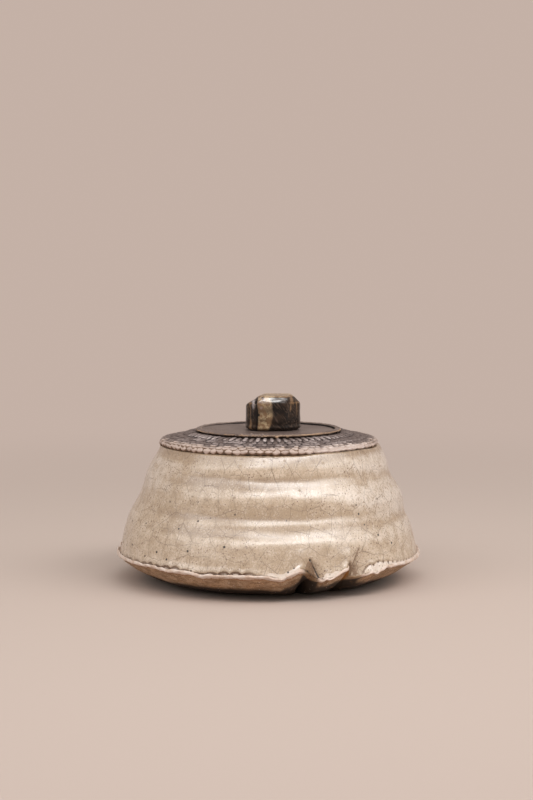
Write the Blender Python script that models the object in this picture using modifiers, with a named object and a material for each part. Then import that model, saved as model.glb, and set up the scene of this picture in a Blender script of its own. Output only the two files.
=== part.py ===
"""Raku box: a thrown box with a folded clay foot, an impressed shoulder and a lift-off lid.

Metres, +Z up. The origin is on the table, under the middle of the box. The front is -Y.
Angles round the box run from the front towards +X.
"""

import math

import bmesh
import bpy
from mathutils import Vector

# Joints between the pieces
JOINT_GAP = 0.0003

# Foot, the unglazed dish that the box stands on
FOOT_RADIUS = 0.0455
FOOT_RISE = 0.0136
FOOT_CURVE = 2.2
FOOT_THICKNESS = 0.0062
LIP_OVERHANG = 0.0014
LIP_BAND = 0.0022
LIP_ROUND = 0.0008
LIP_TILT = 0.0005

# Wall, the thrown and glazed body
WALL_HEIGHT = 0.0563
WALL_TOP_RADIUS = 0.0591
WALL_FOOT_RADIUS = 0.0794
WALL_THICKNESS = 0.0060
WALL_EDGE_ROUND = 0.0010

# Throwing rings, from the top down. Each row has the share of the wall's height, then the
# share of its spread at the left, at the front and back, and at the right.
RING_SHARES = (
    (0.000, -0.050, 0.000, 0.020),
    (0.060, 0.000, 0.094, 0.123),
    (0.110, 0.086, 0.153, 0.180),
    (0.155, 0.155, 0.172, 0.228),
    (0.200, 0.230, 0.190, 0.254),
    (0.250, 0.288, 0.256, 0.290),
    (0.300, 0.336, 0.345, 0.367),
    (0.350, 0.373, 0.419, 0.450),
    (0.400, 0.414, 0.458, 0.537),
    (0.445, 0.466, 0.475, 0.600),
    (0.490, 0.520, 0.490, 0.628),
    (0.540, 0.595, 0.517, 0.651),
    (0.590, 0.671, 0.601, 0.664),
    (0.635, 0.740, 0.621, 0.697),
    (0.685, 0.798, 0.695, 0.777),
    (0.735, 0.840, 0.788, 0.839),
    (0.825, 0.911, 0.882, 0.915),
    (0.920, 0.965, 0.956, 0.975),
    (1.000, 1.000, 1.000, 1.000),
)

# Two pleats at the front right, where the wall and the foot are pinched together.
# The lip climbs to each apex, falls past it and recovers. The crease is where the clay
# goes in most, and its top leans round the box.
PLEAT_APEXES = (math.radians(12.5), math.radians(31.5))
PLEAT_CLIMBS = (0.0030, 0.0030)
PLEAT_DROPS = (0.0028, 0.0034)
PLEAT_APPROACHES = (math.radians(6.5), math.radians(7.5))
PLEAT_FALLS = (math.radians(7.0), math.radians(1.9))
PLEAT_RECOVERIES = (math.radians(2.0), math.radians(10.0))
PLEAT_CREASES = (math.radians(16.6), math.radians(33.3))
PLEAT_LEANS = (math.radians(0.2), math.radians(3.7))
PLEAT_LEFT_WIDTHS = (math.radians(6.0), math.radians(4.0))
PLEAT_RIGHT_WIDTHS = (math.radians(4.0), math.radians(8.0))
PLEAT_HEIGHTS = (0.0068, 0.0102)
PLEAT_DEPTHS = (0.0048, 0.0062)
PLEAT_UNDERCUTS = (0.0155, 0.0145)
PLEAT_SHARPNESS = 1.5
PLEAT_REACH = 0.0176
HOLLOW_CURVE = 0.6
LIFT_REACH = 0.0120

# Shoulder, the impressed slab that closes the wall
SHOULDER_OVERHANG = 0.0006
SHOULDER_EDGE = 0.0016
SHOULDER_ROUND_SHARE = 0.33
SHOULDER_RISE = 0.0044
SHOULDER_THICKNESS = 0.0036
MOUTH_RADIUS = 0.0320
SEAT_WIDTH = 0.0049
SEAT_DEPTH = 0.0017

# Slope of the shoulder: share of the way out from the seat, and share of its rise
SLOPE_SHARES = (
    (0.00, 1.00),
    (0.14, 0.98),
    (0.36, 0.83),
    (0.58, 0.64),
    (0.75, 0.47),
    (0.90, 0.32),
    (0.97, 0.19),
    (1.00, 0.00),
)

# Rows of cells stamped into the slope, round the mouth. Each ring of points has its share of
# the way out, then the share of the depth that it is pressed at even steps and at odd steps.
STAMP_COUNT = 72
STAMP_DEPTH = 0.0006
STAMP_SHARES = (
    (0.00, 0.0, 0.0),
    (0.11, 1.0, 1.0),
    (0.16, 0.0, 1.0),
    (0.30, 0.0, 1.0),
    (0.36, 0.8, 1.0),
    (0.43, 1.0, 0.0),
    (0.57, 0.0, 1.0),
    (0.70, 1.0, 0.0),
    (0.83, 0.0, 1.0),
    (0.95, 1.0, 0.0),
    (1.00, 0.4, 0.0),
)

# Lid
LID_FIT = 0.0007
PLATE_THICKNESS = 0.0029
RIM_OVERHANG = 0.0021
RIM_WIDTH = 0.0032
RIM_PROUD = 0.0012
RIM_CLEARANCE = 0.0009
RIM_UNDERCUT = 0.0013
RIM_ROUND = 0.0005
FLANGE_FIT = 0.0008
FLANGE_THICKNESS = 0.0027
FLANGE_DEPTH = 0.0064

# Knob, a block cut with a wire
KNOB_HEIGHT = 0.0184
KNOB_REACH = 0.0146
KNOB_OFFSET = 0.0024
KNOB_EDGE = 0.0007

# Cuts of the knob's sides: angle round it, and share of its reach
KNOB_SIDE_SHARES = (
    (math.radians(-2.0), 0.80),
    (math.radians(44.0), 0.90),
    (math.radians(82.0), 1.0),
    (math.radians(128.0), 0.95),
    (math.radians(176.0), 0.78),
    (math.radians(-131.0), 0.96),
    (math.radians(-80.0), 1.0),
    (math.radians(-47.0), 0.93),
)

# Cuts of the knob's top edges: angle round it, lean up from level, and share of its height
# where the cut passes the knob's full reach
KNOB_TOP_SHARES = (
    (math.radians(0.0), math.radians(28.0), 0.52),
    (math.radians(60.0), math.radians(45.0), 0.80),
    (math.radians(95.0), math.radians(43.0), 0.76),
    (math.radians(180.0), math.radians(48.0), 0.82),
    (math.radians(-100.0), math.radians(58.0), 0.72),
    (math.radians(-58.0), math.radians(50.0), 0.76),
)

# Mesh fineness. The wall's inside follows every sixth ring row.
WALL_STEPS = 112
ROUND_STEPS = 72
STEP_CROWDING = 0.72
INNER_ROW_STEP = 6
FOOT_SAMPLES = 6
MERGE = 0.00001
SMOOTH_ANGLE = math.radians(35.0)

# Radii, worked out from the sizes above
LIP_RADIUS = WALL_FOOT_RADIUS + LIP_OVERHANG
SHOULDER_RADIUS = WALL_TOP_RADIUS + SHOULDER_OVERHANG
SEAT_RADIUS = MOUTH_RADIUS + SEAT_WIDTH
PLATE_RADIUS = SEAT_RADIUS - LID_FIT
RIM_RADIUS = SEAT_RADIUS + RIM_OVERHANG
FLANGE_RADIUS = MOUTH_RADIUS - FLANGE_FIT

# Heights above the table, worked out from the sizes above
FOOT_TOP = FOOT_RISE + LIP_BAND
WALL_FOOT = FOOT_TOP + JOINT_GAP
WALL_TOP = WALL_FOOT + WALL_HEIGHT
SHOULDER_UNDER = WALL_TOP + JOINT_GAP
SHOULDER_CORNER = SHOULDER_UNDER + SHOULDER_EDGE
SHOULDER_TOP = SHOULDER_CORNER + SHOULDER_RISE
SEAT = SHOULDER_TOP - SEAT_DEPTH
PLATE_UNDER = SEAT + JOINT_GAP
PLATE_TOP = PLATE_UNDER + PLATE_THICKNESS
RIM_UNDER = SHOULDER_TOP + RIM_CLEARANCE
RIM_TOP = PLATE_TOP + RIM_PROUD
KNOB_FOOT = PLATE_TOP + JOINT_GAP


def clear_scene():
    for old in list(bpy.data.objects):
        bpy.data.objects.remove(old)


def finish(name, colour, roughness):
    """A plain material in the fired piece's colour."""
    made = bpy.data.materials.new(name)
    made.use_nodes = True
    shader = made.node_tree.nodes["Principled BSDF"]
    shader.inputs["Base Color"].default_value = (*colour, 1.0)
    shader.inputs["Roughness"].default_value = roughness
    shader.inputs["Metallic"].default_value = 0.0
    return made


def smooth_step(value):
    """0 below 0, 1 above 1, and a smooth rise between."""
    held = min(1.0, max(0.0, value))
    return held * held * (3.0 - 2.0 * held)


def read_off(rows, where):
    """What a table gives at a place in its first column, in straight lines between its rows."""
    pairs = list(zip(rows, rows[1:]))
    upper, lower = next(pair for pair in pairs if where <= pair[1][0] or pair is pairs[-1])
    t = (where - upper[0]) / (lower[0] - upper[0])
    return [a + (b - a) * t for a, b in zip(upper[1:], lower[1:])]


def turned(name, profile, steps, closed):
    """A mesh turned round Z from a profile of (radius, height) that runs down its outer side."""
    mesh = bpy.data.meshes.new(name + "_profile")
    points = [(radius, 0.0, height) for radius, height in profile]
    edges = [(i, i + 1) for i in range(len(points) - 1)]
    if closed:
        edges.append((len(points) - 1, 0))
    mesh.from_pydata(points, edges, [])
    guide = bpy.data.objects.new(name + "_profile", mesh)
    bpy.context.scene.collection.objects.link(guide)
    screw = guide.modifiers.new("Turn", "SCREW")
    screw.angle = math.tau
    screw.steps = steps
    screw.render_steps = steps
    screw.use_merge_vertices = True
    screw.merge_threshold = MERGE
    bpy.context.view_layer.update()
    graph = bpy.context.evaluated_depsgraph_get()
    solid = bpy.data.meshes.new_from_object(guide.evaluated_get(graph))
    bpy.data.objects.remove(guide)
    solid.name = name
    return bpy.data.objects.new(name, solid)


def crowd_steps(piece):
    """Slides the turned steps round Z so that they lie closer together at the pleats."""
    middle = sum(PLEAT_CREASES) / len(PLEAT_CREASES)
    for vertex in piece.data.vertices:
        x, y, z = vertex.co
        radius = math.hypot(x, y)
        if radius < MERGE:
            continue
        angle = math.atan2(x, -y)
        angle -= STEP_CROWDING * math.sin(angle - middle)
        vertex.co = (radius * math.sin(angle), -radius * math.cos(angle), z)


def push_in(angle, pleat, lean_share):
    """How deep a pleat is at an angle, from 0 at its sides to 1 at its crease."""
    off = angle - PLEAT_CREASES[pleat] - PLEAT_LEANS[pleat] * lean_share
    width = PLEAT_LEFT_WIDTHS[pleat] if off < 0.0 else PLEAT_RIGHT_WIDTHS[pleat]
    return max(0.0, 1.0 - abs(off) / width) ** PLEAT_SHARPNESS


def lip_lift(angle, pleat):
    """How far the lip climbs to a pleat's apex, and drops past it."""
    off = angle - PLEAT_APEXES[pleat]
    climb = PLEAT_CLIMBS[pleat]
    drop = PLEAT_DROPS[pleat]
    past = off - PLEAT_FALLS[pleat]
    if off < 0.0:
        return climb * max(0.0, 1.0 + off / PLEAT_APPROACHES[pleat]) ** PLEAT_SHARPNESS
    if past < 0.0:
        return climb - (climb + drop) * smooth_step(off / PLEAT_FALLS[pleat])
    return -drop * (1.0 - smooth_step(past / PLEAT_RECOVERIES[pleat]))


def pinched(point):
    """Where a point of the turned foot or wall goes when the clay is pinched into pleats."""
    x, y, z = point
    radius = math.hypot(x, y)
    if radius < MERGE:
        return point
    angle = math.atan2(x, -y)
    above = z - FOOT_TOP
    under_share = min(1.0, max(0.0, z / FOOT_TOP))
    hollow_share = math.sin(math.pi * under_share**HOLLOW_CURVE)
    out_share = smooth_step((radius - FOOT_RADIUS) / PLEAT_REACH)
    reach_share = max(0.0, 1.0 - above / LIFT_REACH) if above > 0.0 else under_share
    push = 0.0
    lift = 0.0
    for pleat, depth in enumerate(PLEAT_DEPTHS):
        up_share = min(1.0, max(0.0, above / PLEAT_HEIGHTS[pleat]))
        deep = depth * (1.0 - up_share) + (PLEAT_UNDERCUTS[pleat] - depth) * hollow_share
        push += deep * push_in(angle, pleat, up_share)
        lift += lip_lift(angle, pleat)
    pushed = radius - push * out_share
    height = z + lift * reach_share * out_share
    tilt_share = 1.0 - above / WALL_HEIGHT if above > 0.0 else under_share
    height -= LIP_TILT * tilt_share * x / LIP_RADIUS
    return (pushed * math.sin(angle), -pushed * math.cos(angle), height)


def place(piece, height, material, parent, collection):
    """Closes a piece's surface, gives it its material and puts it at its height on its parent."""
    work = bmesh.new()
    work.from_mesh(piece.data)
    bmesh.ops.remove_doubles(work, verts=work.verts, dist=MERGE)
    bmesh.ops.recalc_face_normals(work, faces=work.faces)
    work.to_mesh(piece.data)
    work.free()
    piece.data.materials.clear()
    piece.data.materials.append(material)
    piece.data.shade_smooth()
    piece.data.set_sharp_from_angle(angle=SMOOTH_ANGLE)
    collection.objects.link(piece)
    piece.parent = parent
    piece.location = (0.0, 0.0, height - parent.location.z)
    return piece


def foot_dish(material, parent, collection):
    """The folded clay foot: a dish with a flat underside and a lip that the wall stands on."""
    seat_inner = WALL_FOOT_RADIUS - WALL_THICKNESS - JOINT_GAP
    inner = []
    under = []
    for step in range(FOOT_SAMPLES):
        out = step / FOOT_SAMPLES
        climb = out**FOOT_CURVE
        across = FOOT_RADIUS + (seat_inner - FOOT_RADIUS) * out
        inner.append((across, FOOT_THICKNESS + (FOOT_TOP - FOOT_THICKNESS) * climb))
        across = FOOT_RADIUS + (LIP_RADIUS - LIP_ROUND - FOOT_RADIUS) * out
        under.append((across, FOOT_RISE * climb))
    profile = [
        (0.0, FOOT_THICKNESS),
        *inner,
        (seat_inner, FOOT_TOP),
        (LIP_RADIUS - LIP_ROUND, FOOT_TOP),
        (LIP_RADIUS, FOOT_TOP - LIP_ROUND),
        (LIP_RADIUS, FOOT_RISE + LIP_ROUND),
        (LIP_RADIUS - LIP_ROUND, FOOT_RISE),
        *reversed(under),
        (0.0, 0.0),
    ]
    piece = turned("foot_dish", profile, WALL_STEPS, closed=False)
    crowd_steps(piece)
    for vertex in piece.data.vertices:
        vertex.co = pinched(vertex.co)
    return place(piece, 0.0, material, parent, collection)


def ring_share(down, angle):
    """The wall's share of its spread at a share of its height from the top, at an angle."""
    side = math.sin(angle)
    left, front, right = read_off(RING_SHARES, down)
    return front * (1.0 - side**2) + (right if side > 0.0 else left) * side**2


def wall_radius(down, angle):
    return WALL_TOP_RADIUS + (WALL_FOOT_RADIUS - WALL_TOP_RADIUS) * ring_share(down, angle)


def thrown_wall(material, parent, collection):
    """The thrown wall with its finger rings, pinched where the pleats are."""
    outer = [(wall_radius(row[0], 0.0), WALL_TOP - WALL_HEIGHT * row[0]) for row in RING_SHARES]
    inner = [(radius - WALL_THICKNESS, height) for radius, height in outer[::-INNER_ROW_STEP]]
    top_radius, top = outer[0]
    foot_radius, foot = outer[-1]
    outer[0] = (top_radius, top - WALL_EDGE_ROUND)
    outer[-1] = (foot_radius, foot + WALL_EDGE_ROUND)
    profile = [
        (top_radius - WALL_EDGE_ROUND, top),
        *outer,
        (foot_radius - WALL_EDGE_ROUND, foot),
        *inner,
    ]
    piece = turned("thrown_wall", profile, WALL_STEPS, closed=True)
    crowd_steps(piece)
    for vertex in piece.data.vertices:
        x, y, z = vertex.co
        angle = math.atan2(x, -y)
        down = min(1.0, max(0.0, (WALL_TOP - z) / WALL_HEIGHT))
        swell = 1.0 + (wall_radius(down, angle) - wall_radius(down, 0.0)) / math.hypot(x, y)
        vertex.co = pinched((x * swell, y * swell, z))
    return place(piece, 0.0, material, parent, collection)


def stamp(piece, run):
    """Presses the rows of cells into the slope of the turned shoulder."""
    for vertex in piece.data.vertices:
        x, y, z = vertex.co
        out = (math.hypot(x, y) - SEAT_RADIUS) / run
        if z < SHOULDER_EDGE - MERGE or out < 0.0:
            continue
        odd_share = 0.5 - 0.5 * math.cos(STAMP_COUNT * math.atan2(x, -y))
        at_even, at_odd = read_off(STAMP_SHARES, out)
        vertex.co.z = z - STAMP_DEPTH * (at_even + (at_odd - at_even) * odd_share)


def shoulder_slab(material, parent, collection):
    """The stamped slab that closes the wall, with the mouth and the lid's seat in it."""
    run = SHOULDER_RADIUS - SEAT_RADIUS
    slope = []
    for out, _, _ in STAMP_SHARES:
        up = read_off(SLOPE_SHARES, out)[0]
        slope.append((SEAT_RADIUS + run * out, SHOULDER_CORNER + SHOULDER_RISE * up))
    edge_round = SHOULDER_EDGE * SHOULDER_ROUND_SHARE
    profile = [
        (MOUTH_RADIUS, SEAT),
        (SEAT_RADIUS, SEAT),
        *slope,
        (SHOULDER_RADIUS, SHOULDER_UNDER + edge_round),
        (SHOULDER_RADIUS - edge_round, SHOULDER_UNDER),
        (WALL_TOP_RADIUS - WALL_THICKNESS, SHOULDER_UNDER),
        (MOUTH_RADIUS, SEAT - SHOULDER_THICKNESS),
    ]
    profile = [(radius, height - SHOULDER_UNDER) for radius, height in profile]
    piece = turned("shoulder_slab", profile, 2 * STAMP_COUNT, closed=True)
    stamp(piece, run)
    return place(piece, SHOULDER_UNDER, material, parent, collection)


def lid_plate(material, parent, collection):
    """The lid's disc, which rests on the shoulder's seat."""
    profile = [
        (0.0, PLATE_THICKNESS),
        (PLATE_RADIUS, PLATE_THICKNESS),
        (PLATE_RADIUS, 0.0),
        (0.0, 0.0),
    ]
    piece = turned("lid_plate", profile, ROUND_STEPS, closed=False)
    return place(piece, PLATE_UNDER, material, parent, collection)


def lid_rim(material, parent, collection):
    """The raised rim, a coil that caps the plate's edge and overhangs it."""
    inner = RIM_RADIUS - RIM_WIDTH
    over_plate = PLATE_TOP + JOINT_GAP - RIM_UNDER
    past_plate = PLATE_RADIUS + JOINT_GAP
    top = RIM_TOP - RIM_UNDER
    profile = [
        (inner, top),
        (RIM_RADIUS - RIM_ROUND, top),
        (RIM_RADIUS, top - RIM_ROUND),
        (RIM_RADIUS - RIM_UNDERCUT, 0.0),
        (past_plate, 0.0),
        (past_plate, over_plate),
        (inner, over_plate),
    ]
    piece = turned("lid_rim", profile, ROUND_STEPS, closed=True)
    return place(piece, RIM_UNDER, material, parent, collection)


def lid_flange(material, parent, collection):
    """The ring under the lid that keeps it in the middle of the mouth."""
    inner = FLANGE_RADIUS - FLANGE_THICKNESS
    profile = [
        (inner, FLANGE_DEPTH),
        (FLANGE_RADIUS, FLANGE_DEPTH),
        (FLANGE_RADIUS, 0.0),
        (inner, 0.0),
    ]
    piece = turned("lid_flange", profile, ROUND_STEPS, closed=True)
    foot = PLATE_UNDER - JOINT_GAP - FLANGE_DEPTH
    return place(piece, foot, material, parent, collection)


def cut(work, point, normal):
    """Cuts a closed convex block with a plane and closes the cut."""
    everything = [*work.verts, *work.edges, *work.faces]
    bmesh.ops.bisect_plane(
        work, geom=everything, plane_co=point, plane_no=normal, clear_outer=True, dist=MERGE
    )
    open_edges = [edge for edge in work.edges if edge.is_boundary]
    bmesh.ops.holes_fill(work, edges=open_edges, sides=0)


def knob(material, parent, collection):
    """The knob: a block with its sides and top edges cut flat, and its edges softened."""
    work = bmesh.new()
    bmesh.ops.create_cube(work, size=1.0)
    for vertex in work.verts:
        vertex.co.x *= 2.0 * KNOB_REACH
        vertex.co.y *= 2.0 * KNOB_REACH
        vertex.co.z = KNOB_HEIGHT if vertex.co.z > 0.0 else 0.0
    for angle, reach in KNOB_SIDE_SHARES:
        outward = Vector((math.sin(angle), -math.cos(angle), 0.0))
        cut(work, outward * KNOB_REACH * reach, outward)
    for angle, lean, height in KNOB_TOP_SHARES:
        outward = Vector((math.sin(angle), -math.cos(angle), 0.0))
        normal = outward * math.cos(lean) + Vector((0.0, 0.0, math.sin(lean)))
        start = outward * KNOB_REACH + Vector((0.0, 0.0, KNOB_HEIGHT * height))
        cut(work, start, normal)
    mesh = bpy.data.meshes.new("knob")
    work.to_mesh(mesh)
    work.free()
    piece = bpy.data.objects.new("knob", mesh)
    place(piece, KNOB_FOOT, material, parent, collection)
    piece.location.x = KNOB_OFFSET
    soften = piece.modifiers.new("Softened edges", "BEVEL")
    soften.width = KNOB_EDGE
    soften.segments = 2
    soften.limit_method = "ANGLE"
    return piece


def empty(name, height, collection):
    made = bpy.data.objects.new(name, None)
    made.location = (0.0, 0.0, height)
    collection.objects.link(made)
    return made


def main():
    clear_scene()
    collection = bpy.data.collections.new("raku_box")
    bpy.context.scene.collection.children.link(collection)

    bare_clay = finish("bare clay", (0.30, 0.19, 0.12), 0.75)
    cream_glaze = finish("cream crackle glaze", (0.60, 0.47, 0.36), 0.30)
    smoked_clay = finish("smoked clay", (0.20, 0.16, 0.145), 0.50)
    dark_glaze = finish("dark glaze", (0.035, 0.024, 0.018), 0.20)

    box = empty("box", 0.0, collection)
    foot_dish(bare_clay, box, collection)
    thrown_wall(cream_glaze, box, collection)
    shoulder_slab(smoked_clay, box, collection)

    lid = empty("lid", PLATE_UNDER, collection)
    lid_plate(smoked_clay, lid, collection)
    lid_rim(smoked_clay, lid, collection)
    lid_flange(smoked_clay, lid, collection)
    knob(dark_glaze, lid, collection)


main()
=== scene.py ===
"""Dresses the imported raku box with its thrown, stamped, cut and glazed surfaces, on a plain stage.

Metres, +Z up, the front at -Y. Angles round the box run from the front towards +X.
"""

import math

import bpy
import numpy as np
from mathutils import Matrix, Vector


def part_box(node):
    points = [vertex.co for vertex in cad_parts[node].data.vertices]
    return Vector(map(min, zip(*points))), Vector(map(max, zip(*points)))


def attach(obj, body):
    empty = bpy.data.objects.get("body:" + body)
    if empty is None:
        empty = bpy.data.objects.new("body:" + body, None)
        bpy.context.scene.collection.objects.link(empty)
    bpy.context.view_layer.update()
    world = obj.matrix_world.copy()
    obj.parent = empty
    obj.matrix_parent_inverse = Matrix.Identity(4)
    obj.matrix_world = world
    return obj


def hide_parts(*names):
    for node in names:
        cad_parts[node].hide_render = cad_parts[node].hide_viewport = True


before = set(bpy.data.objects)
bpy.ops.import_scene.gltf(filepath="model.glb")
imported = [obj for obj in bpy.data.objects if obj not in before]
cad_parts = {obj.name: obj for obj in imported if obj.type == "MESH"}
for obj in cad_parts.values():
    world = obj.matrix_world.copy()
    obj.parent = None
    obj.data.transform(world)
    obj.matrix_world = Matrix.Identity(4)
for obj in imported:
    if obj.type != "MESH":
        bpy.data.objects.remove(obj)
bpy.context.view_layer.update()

bl_info = {
    "name": "Raku Box",
    "version": (1, 0, 0),
    "blender": (4, 5, 0),
    "location": "View3D > Sidebar > Raku Box",
    "description": "Throws, stamps, cuts and glazes a raku box round its packed solids",
    "category": "Add Mesh",
}

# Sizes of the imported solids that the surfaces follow
JOINT_GAP = 0.0003
FOOT_RADIUS = 0.0455
FOOT_RISE = 0.0136
FOOT_CURVE = 2.2
FOOT_THICKNESS = 0.0062
LIP_BAND = 0.0022
LIP_RADIUS = 0.0808
LIP_TILT = 0.0005
WALL_HEIGHT = 0.0563
WALL_TOP_RADIUS = 0.0591
WALL_FOOT_RADIUS = 0.0794
WALL_THICKNESS = 0.0060
SHOULDER_RADIUS = 0.0597
SHOULDER_EDGE = 0.0016
SHOULDER_RISE = 0.0044
SHOULDER_THICKNESS = 0.0036
MOUTH_RADIUS = 0.0320
SEAT_RADIUS = 0.0369
SEAT_DEPTH = 0.0017
RIM_RADIUS = 0.0390
RIM_WIDTH = 0.0032
RIM_UNDERCUT = 0.0013
KNOB_HEIGHT = 0.0184
KNOB_REACH = 0.0146
KNOB_OFFSET = 0.0024

FOOT_TOP = FOOT_RISE + LIP_BAND
WALL_FOOT = FOOT_TOP + JOINT_GAP
WALL_TOP = WALL_FOOT + WALL_HEIGHT
SHOULDER_UNDER = WALL_TOP + JOINT_GAP
SHOULDER_CORNER = SHOULDER_UNDER + SHOULDER_EDGE
SHOULDER_TOP = SHOULDER_CORNER + SHOULDER_RISE
SEAT = SHOULDER_TOP - SEAT_DEPTH
PLATE_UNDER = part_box("lid_plate")[0][2]
PLATE_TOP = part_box("lid_plate")[1][2]
PLATE_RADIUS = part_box("lid_plate")[1][0]
RIM_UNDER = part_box("lid_rim")[0][2]
RIM_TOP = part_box("lid_rim")[1][2]
FLANGE_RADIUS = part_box("lid_flange")[1][0]
FLANGE_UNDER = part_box("lid_flange")[0][2]
FLANGE_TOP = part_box("lid_flange")[1][2]
FLANGE_THICKNESS = 0.0027
KNOB_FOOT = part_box("knob")[0][2]

# Throwing rings: share of the wall's height from the top, then the share of its spread at the
# left, at the front and back, and at the right
RING_SHARES = np.array((
    (0.000, -0.050, 0.000, 0.020),
    (0.060, 0.000, 0.094, 0.123),
    (0.110, 0.086, 0.153, 0.180),
    (0.155, 0.155, 0.172, 0.228),
    (0.200, 0.230, 0.190, 0.254),
    (0.250, 0.288, 0.256, 0.290),
    (0.300, 0.336, 0.345, 0.367),
    (0.350, 0.373, 0.419, 0.450),
    (0.400, 0.414, 0.458, 0.537),
    (0.445, 0.466, 0.475, 0.600),
    (0.490, 0.520, 0.490, 0.628),
    (0.540, 0.595, 0.517, 0.651),
    (0.590, 0.671, 0.588, 0.664),
    (0.635, 0.740, 0.635, 0.697),
    (0.685, 0.798, 0.702, 0.777),
    (0.735, 0.840, 0.788, 0.839),
    (0.825, 0.911, 0.882, 0.915),
    (0.920, 0.965, 0.956, 0.975),
    (1.000, 1.000, 1.000, 1.000),
))

# Two lumps of clay left on the rim: angle in degrees, half width and share of a full lump
RIM_LUMPS = (
    (6.3, 0.0008, 1.0),
    (14.5, 0.0007, 0.5),
)

# Two pleats at the front right, as on the solids
PLEAT_APEXES = np.radians((12.5, 31.5))
PLEAT_CLIMBS = (0.0030, 0.0030)
PLEAT_DROPS = (0.0028, 0.0034)
PLEAT_APPROACHES = np.radians((6.5, 7.5))
PLEAT_FALLS = np.radians((7.0, 1.9))
PLEAT_RECOVERIES = np.radians((2.0, 10.0))
PLEAT_CREASES = np.radians((16.6, 33.3))
PLEAT_LEANS = np.radians((0.2, 3.7))
PLEAT_LEFT_WIDTHS = np.radians((6.0, 4.0))
PLEAT_RIGHT_WIDTHS = np.radians((4.0, 8.0))
PLEAT_HEIGHTS = (0.0068, 0.0102)
PLEAT_DEPTHS = (0.0048, 0.0062)
PLEAT_UNDERCUTS = (0.0155, 0.0145)
PLEAT_SHARPNESS = 1.5
PLEAT_REACH = 0.0176
HOLLOW_CURVE = 0.6
LIFT_REACH = 0.0120

# How far the lip wanders up or down from the solid's: angle in degrees, height
LIP_WANDER = np.array((
    (-100.0, 0.0),
    (-85.0, -0.0010),
    (-72.0, -0.0003),
    (-56.0, 0.0002),
    (-44.0, 0.0004),
    (-34.0, 0.0002),
    (-30.0, 0.0004),
    (-25.8, -0.0005),
    (-22.0, -0.0003),
    (-18.0, 0.0002),
    (-10.8, 0.0003),
    (-3.7, 0.0003),
    (0.0, 0.0001),
    (3.2, -0.0009),
    (5.0, -0.0013),
    (6.5, -0.0001),
    (9.0, 0.0006),
    (11.2, 0.0014),
    (13.0, 0.0004),
    (18.0, 0.0),
    (19.5, 0.0003),
    (21.5, -0.0016),
    (23.5, -0.0015),
    (25.5, -0.0003),
    (28.0, 0.0009),
    (31.0, 0.0002),
    (38.0, 0.0),
    (40.5, -0.0004),
    (43.5, -0.0014),
    (46.2, 0.0),
    (64.0, 0.0004),
    (100.0, 0.0),
))

# The first pleat's gusset of glaze and the hole over it, and the second pleat's crease: angles at
# the foot and at the top of each, and heights above the foot
GUSSET_LEFT = np.radians((12.9, 14.9))
GUSSET_RIGHT = np.radians((19.6, 15.6))
GUSSET_DIP = 0.0010
GUSSET_RISE = 0.0066
HOLE_PLACE = (math.radians(15.5), 0.0058)
CREASE_PATH = np.radians((32.2, 36.6))
CREASE_RISE = 0.0100

# Amber glaze caught under the lip beside the second pleat: angle in degrees, and height
POOL_PLACE = (31.8, 0.0106)

# How high the wall's foot spreads
SPLAY_HEIGHT = 0.0035

# How far the wall's top climbs over the shoulder's edge at the right front
RAISED_HEIGHT = 0.0008

# Tongue of bare lip right of the pleats: angle in degrees, how far it pushes the glaze's edge up
TONGUE = np.array((
    (35.5, 0.0),
    (40.5, 0.0022),
    (44.5, 0.0020),
    (49.0, 0.0006),
    (56.0, 0.0),
))

# Pale brim of the wall between and left of the pleats: angle in degrees, height of its upper edge
BRIMS = np.array((
    (-9.0, 0.0004),
    (8.0, 0.0013),
    (11.0, 0.0016),
    (18.0, 0.0006),
    (21.0, 0.0012),
    (25.0, 0.0014),
    (28.5, -0.0006),
    (31.0, -0.0020),
))

# Slope of the shoulder: share of the way out from the seat, and share of its rise
SLOPE_SHARES = np.array((
    (0.00, 1.00),
    (0.14, 0.98),
    (0.36, 0.83),
    (0.58, 0.64),
    (0.75, 0.47),
    (0.90, 0.32),
    (0.97, 0.19),
    (1.00, 0.00),
))

# Rows of scales on the shoulder, the petals at the seat first: radius that their tips reach,
# length, how many go round, looseness, half width, narrowing, roundness and pointedness
PETAL_REACH = 0.0464
SCALE_ROWS = (
    (PETAL_REACH, 0.0090, 76, 0.25, 0.40, 0.40, 1.7, 0.48),
    (0.0499, 0.0050, 88, 1.00, 0.52, 0.00, 2.1, 0.60),
    (0.0534, 0.0050, 92, 1.00, 0.52, 0.00, 2.1, 0.60),
    (0.0565, 0.0046, 92, 1.00, 0.52, 0.00, 2.1, 0.60),
    (0.0591, 0.0042, 90, 0.55, 0.52, 0.00, 2.1, 0.60),
    (0.0613, 0.0036, 88, 0.55, 0.52, 0.00, 2.1, 0.60),
)

# Cuts of the knob, as on the solids, in degrees: angle round it and share of its reach, then
# angle, lean up from level and share of its height
KNOB_SIDE_CUTS = (
    (-2.0, 0.80),
    (44.0, 0.90),
    (82.0, 1.0),
    (128.0, 0.95),
    (176.0, 0.78),
    (-131.0, 0.96),
    (-80.0, 1.0),
    (-47.0, 0.93),
)
KNOB_TOP_CUTS = (
    (0.0, 28.0, 0.52),
    (60.0, 45.0, 0.80),
    (95.0, 43.0, 0.76),
    (180.0, 48.0, 0.82),
    (-100.0, 58.0, 0.72),
    (-58.0, 50.0, 0.76),
)

# Marks of the wire on the knob's front, to the right of its middle, and a notch in its top
KNOB_CLEFT = -0.0091
KNOB_SEAM = 0.0096
KNOB_RIDGE = 0.0128
KNOB_NOTCH = (-0.0099, -0.0080)
KNOB_PORES = (-0.0057, -0.0018, 0.0012)

# From one to the next of the marks that repeat: arcs and dots along the glaze's lower edge,
# strokes on the disc, and teeth round and across the rim
ARC_PITCH = 0.0066
DOT_PITCH = 0.0037
STROKE_PITCH = 0.0021
TEETH_PITCHES = (0.0020, 0.0022)

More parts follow.
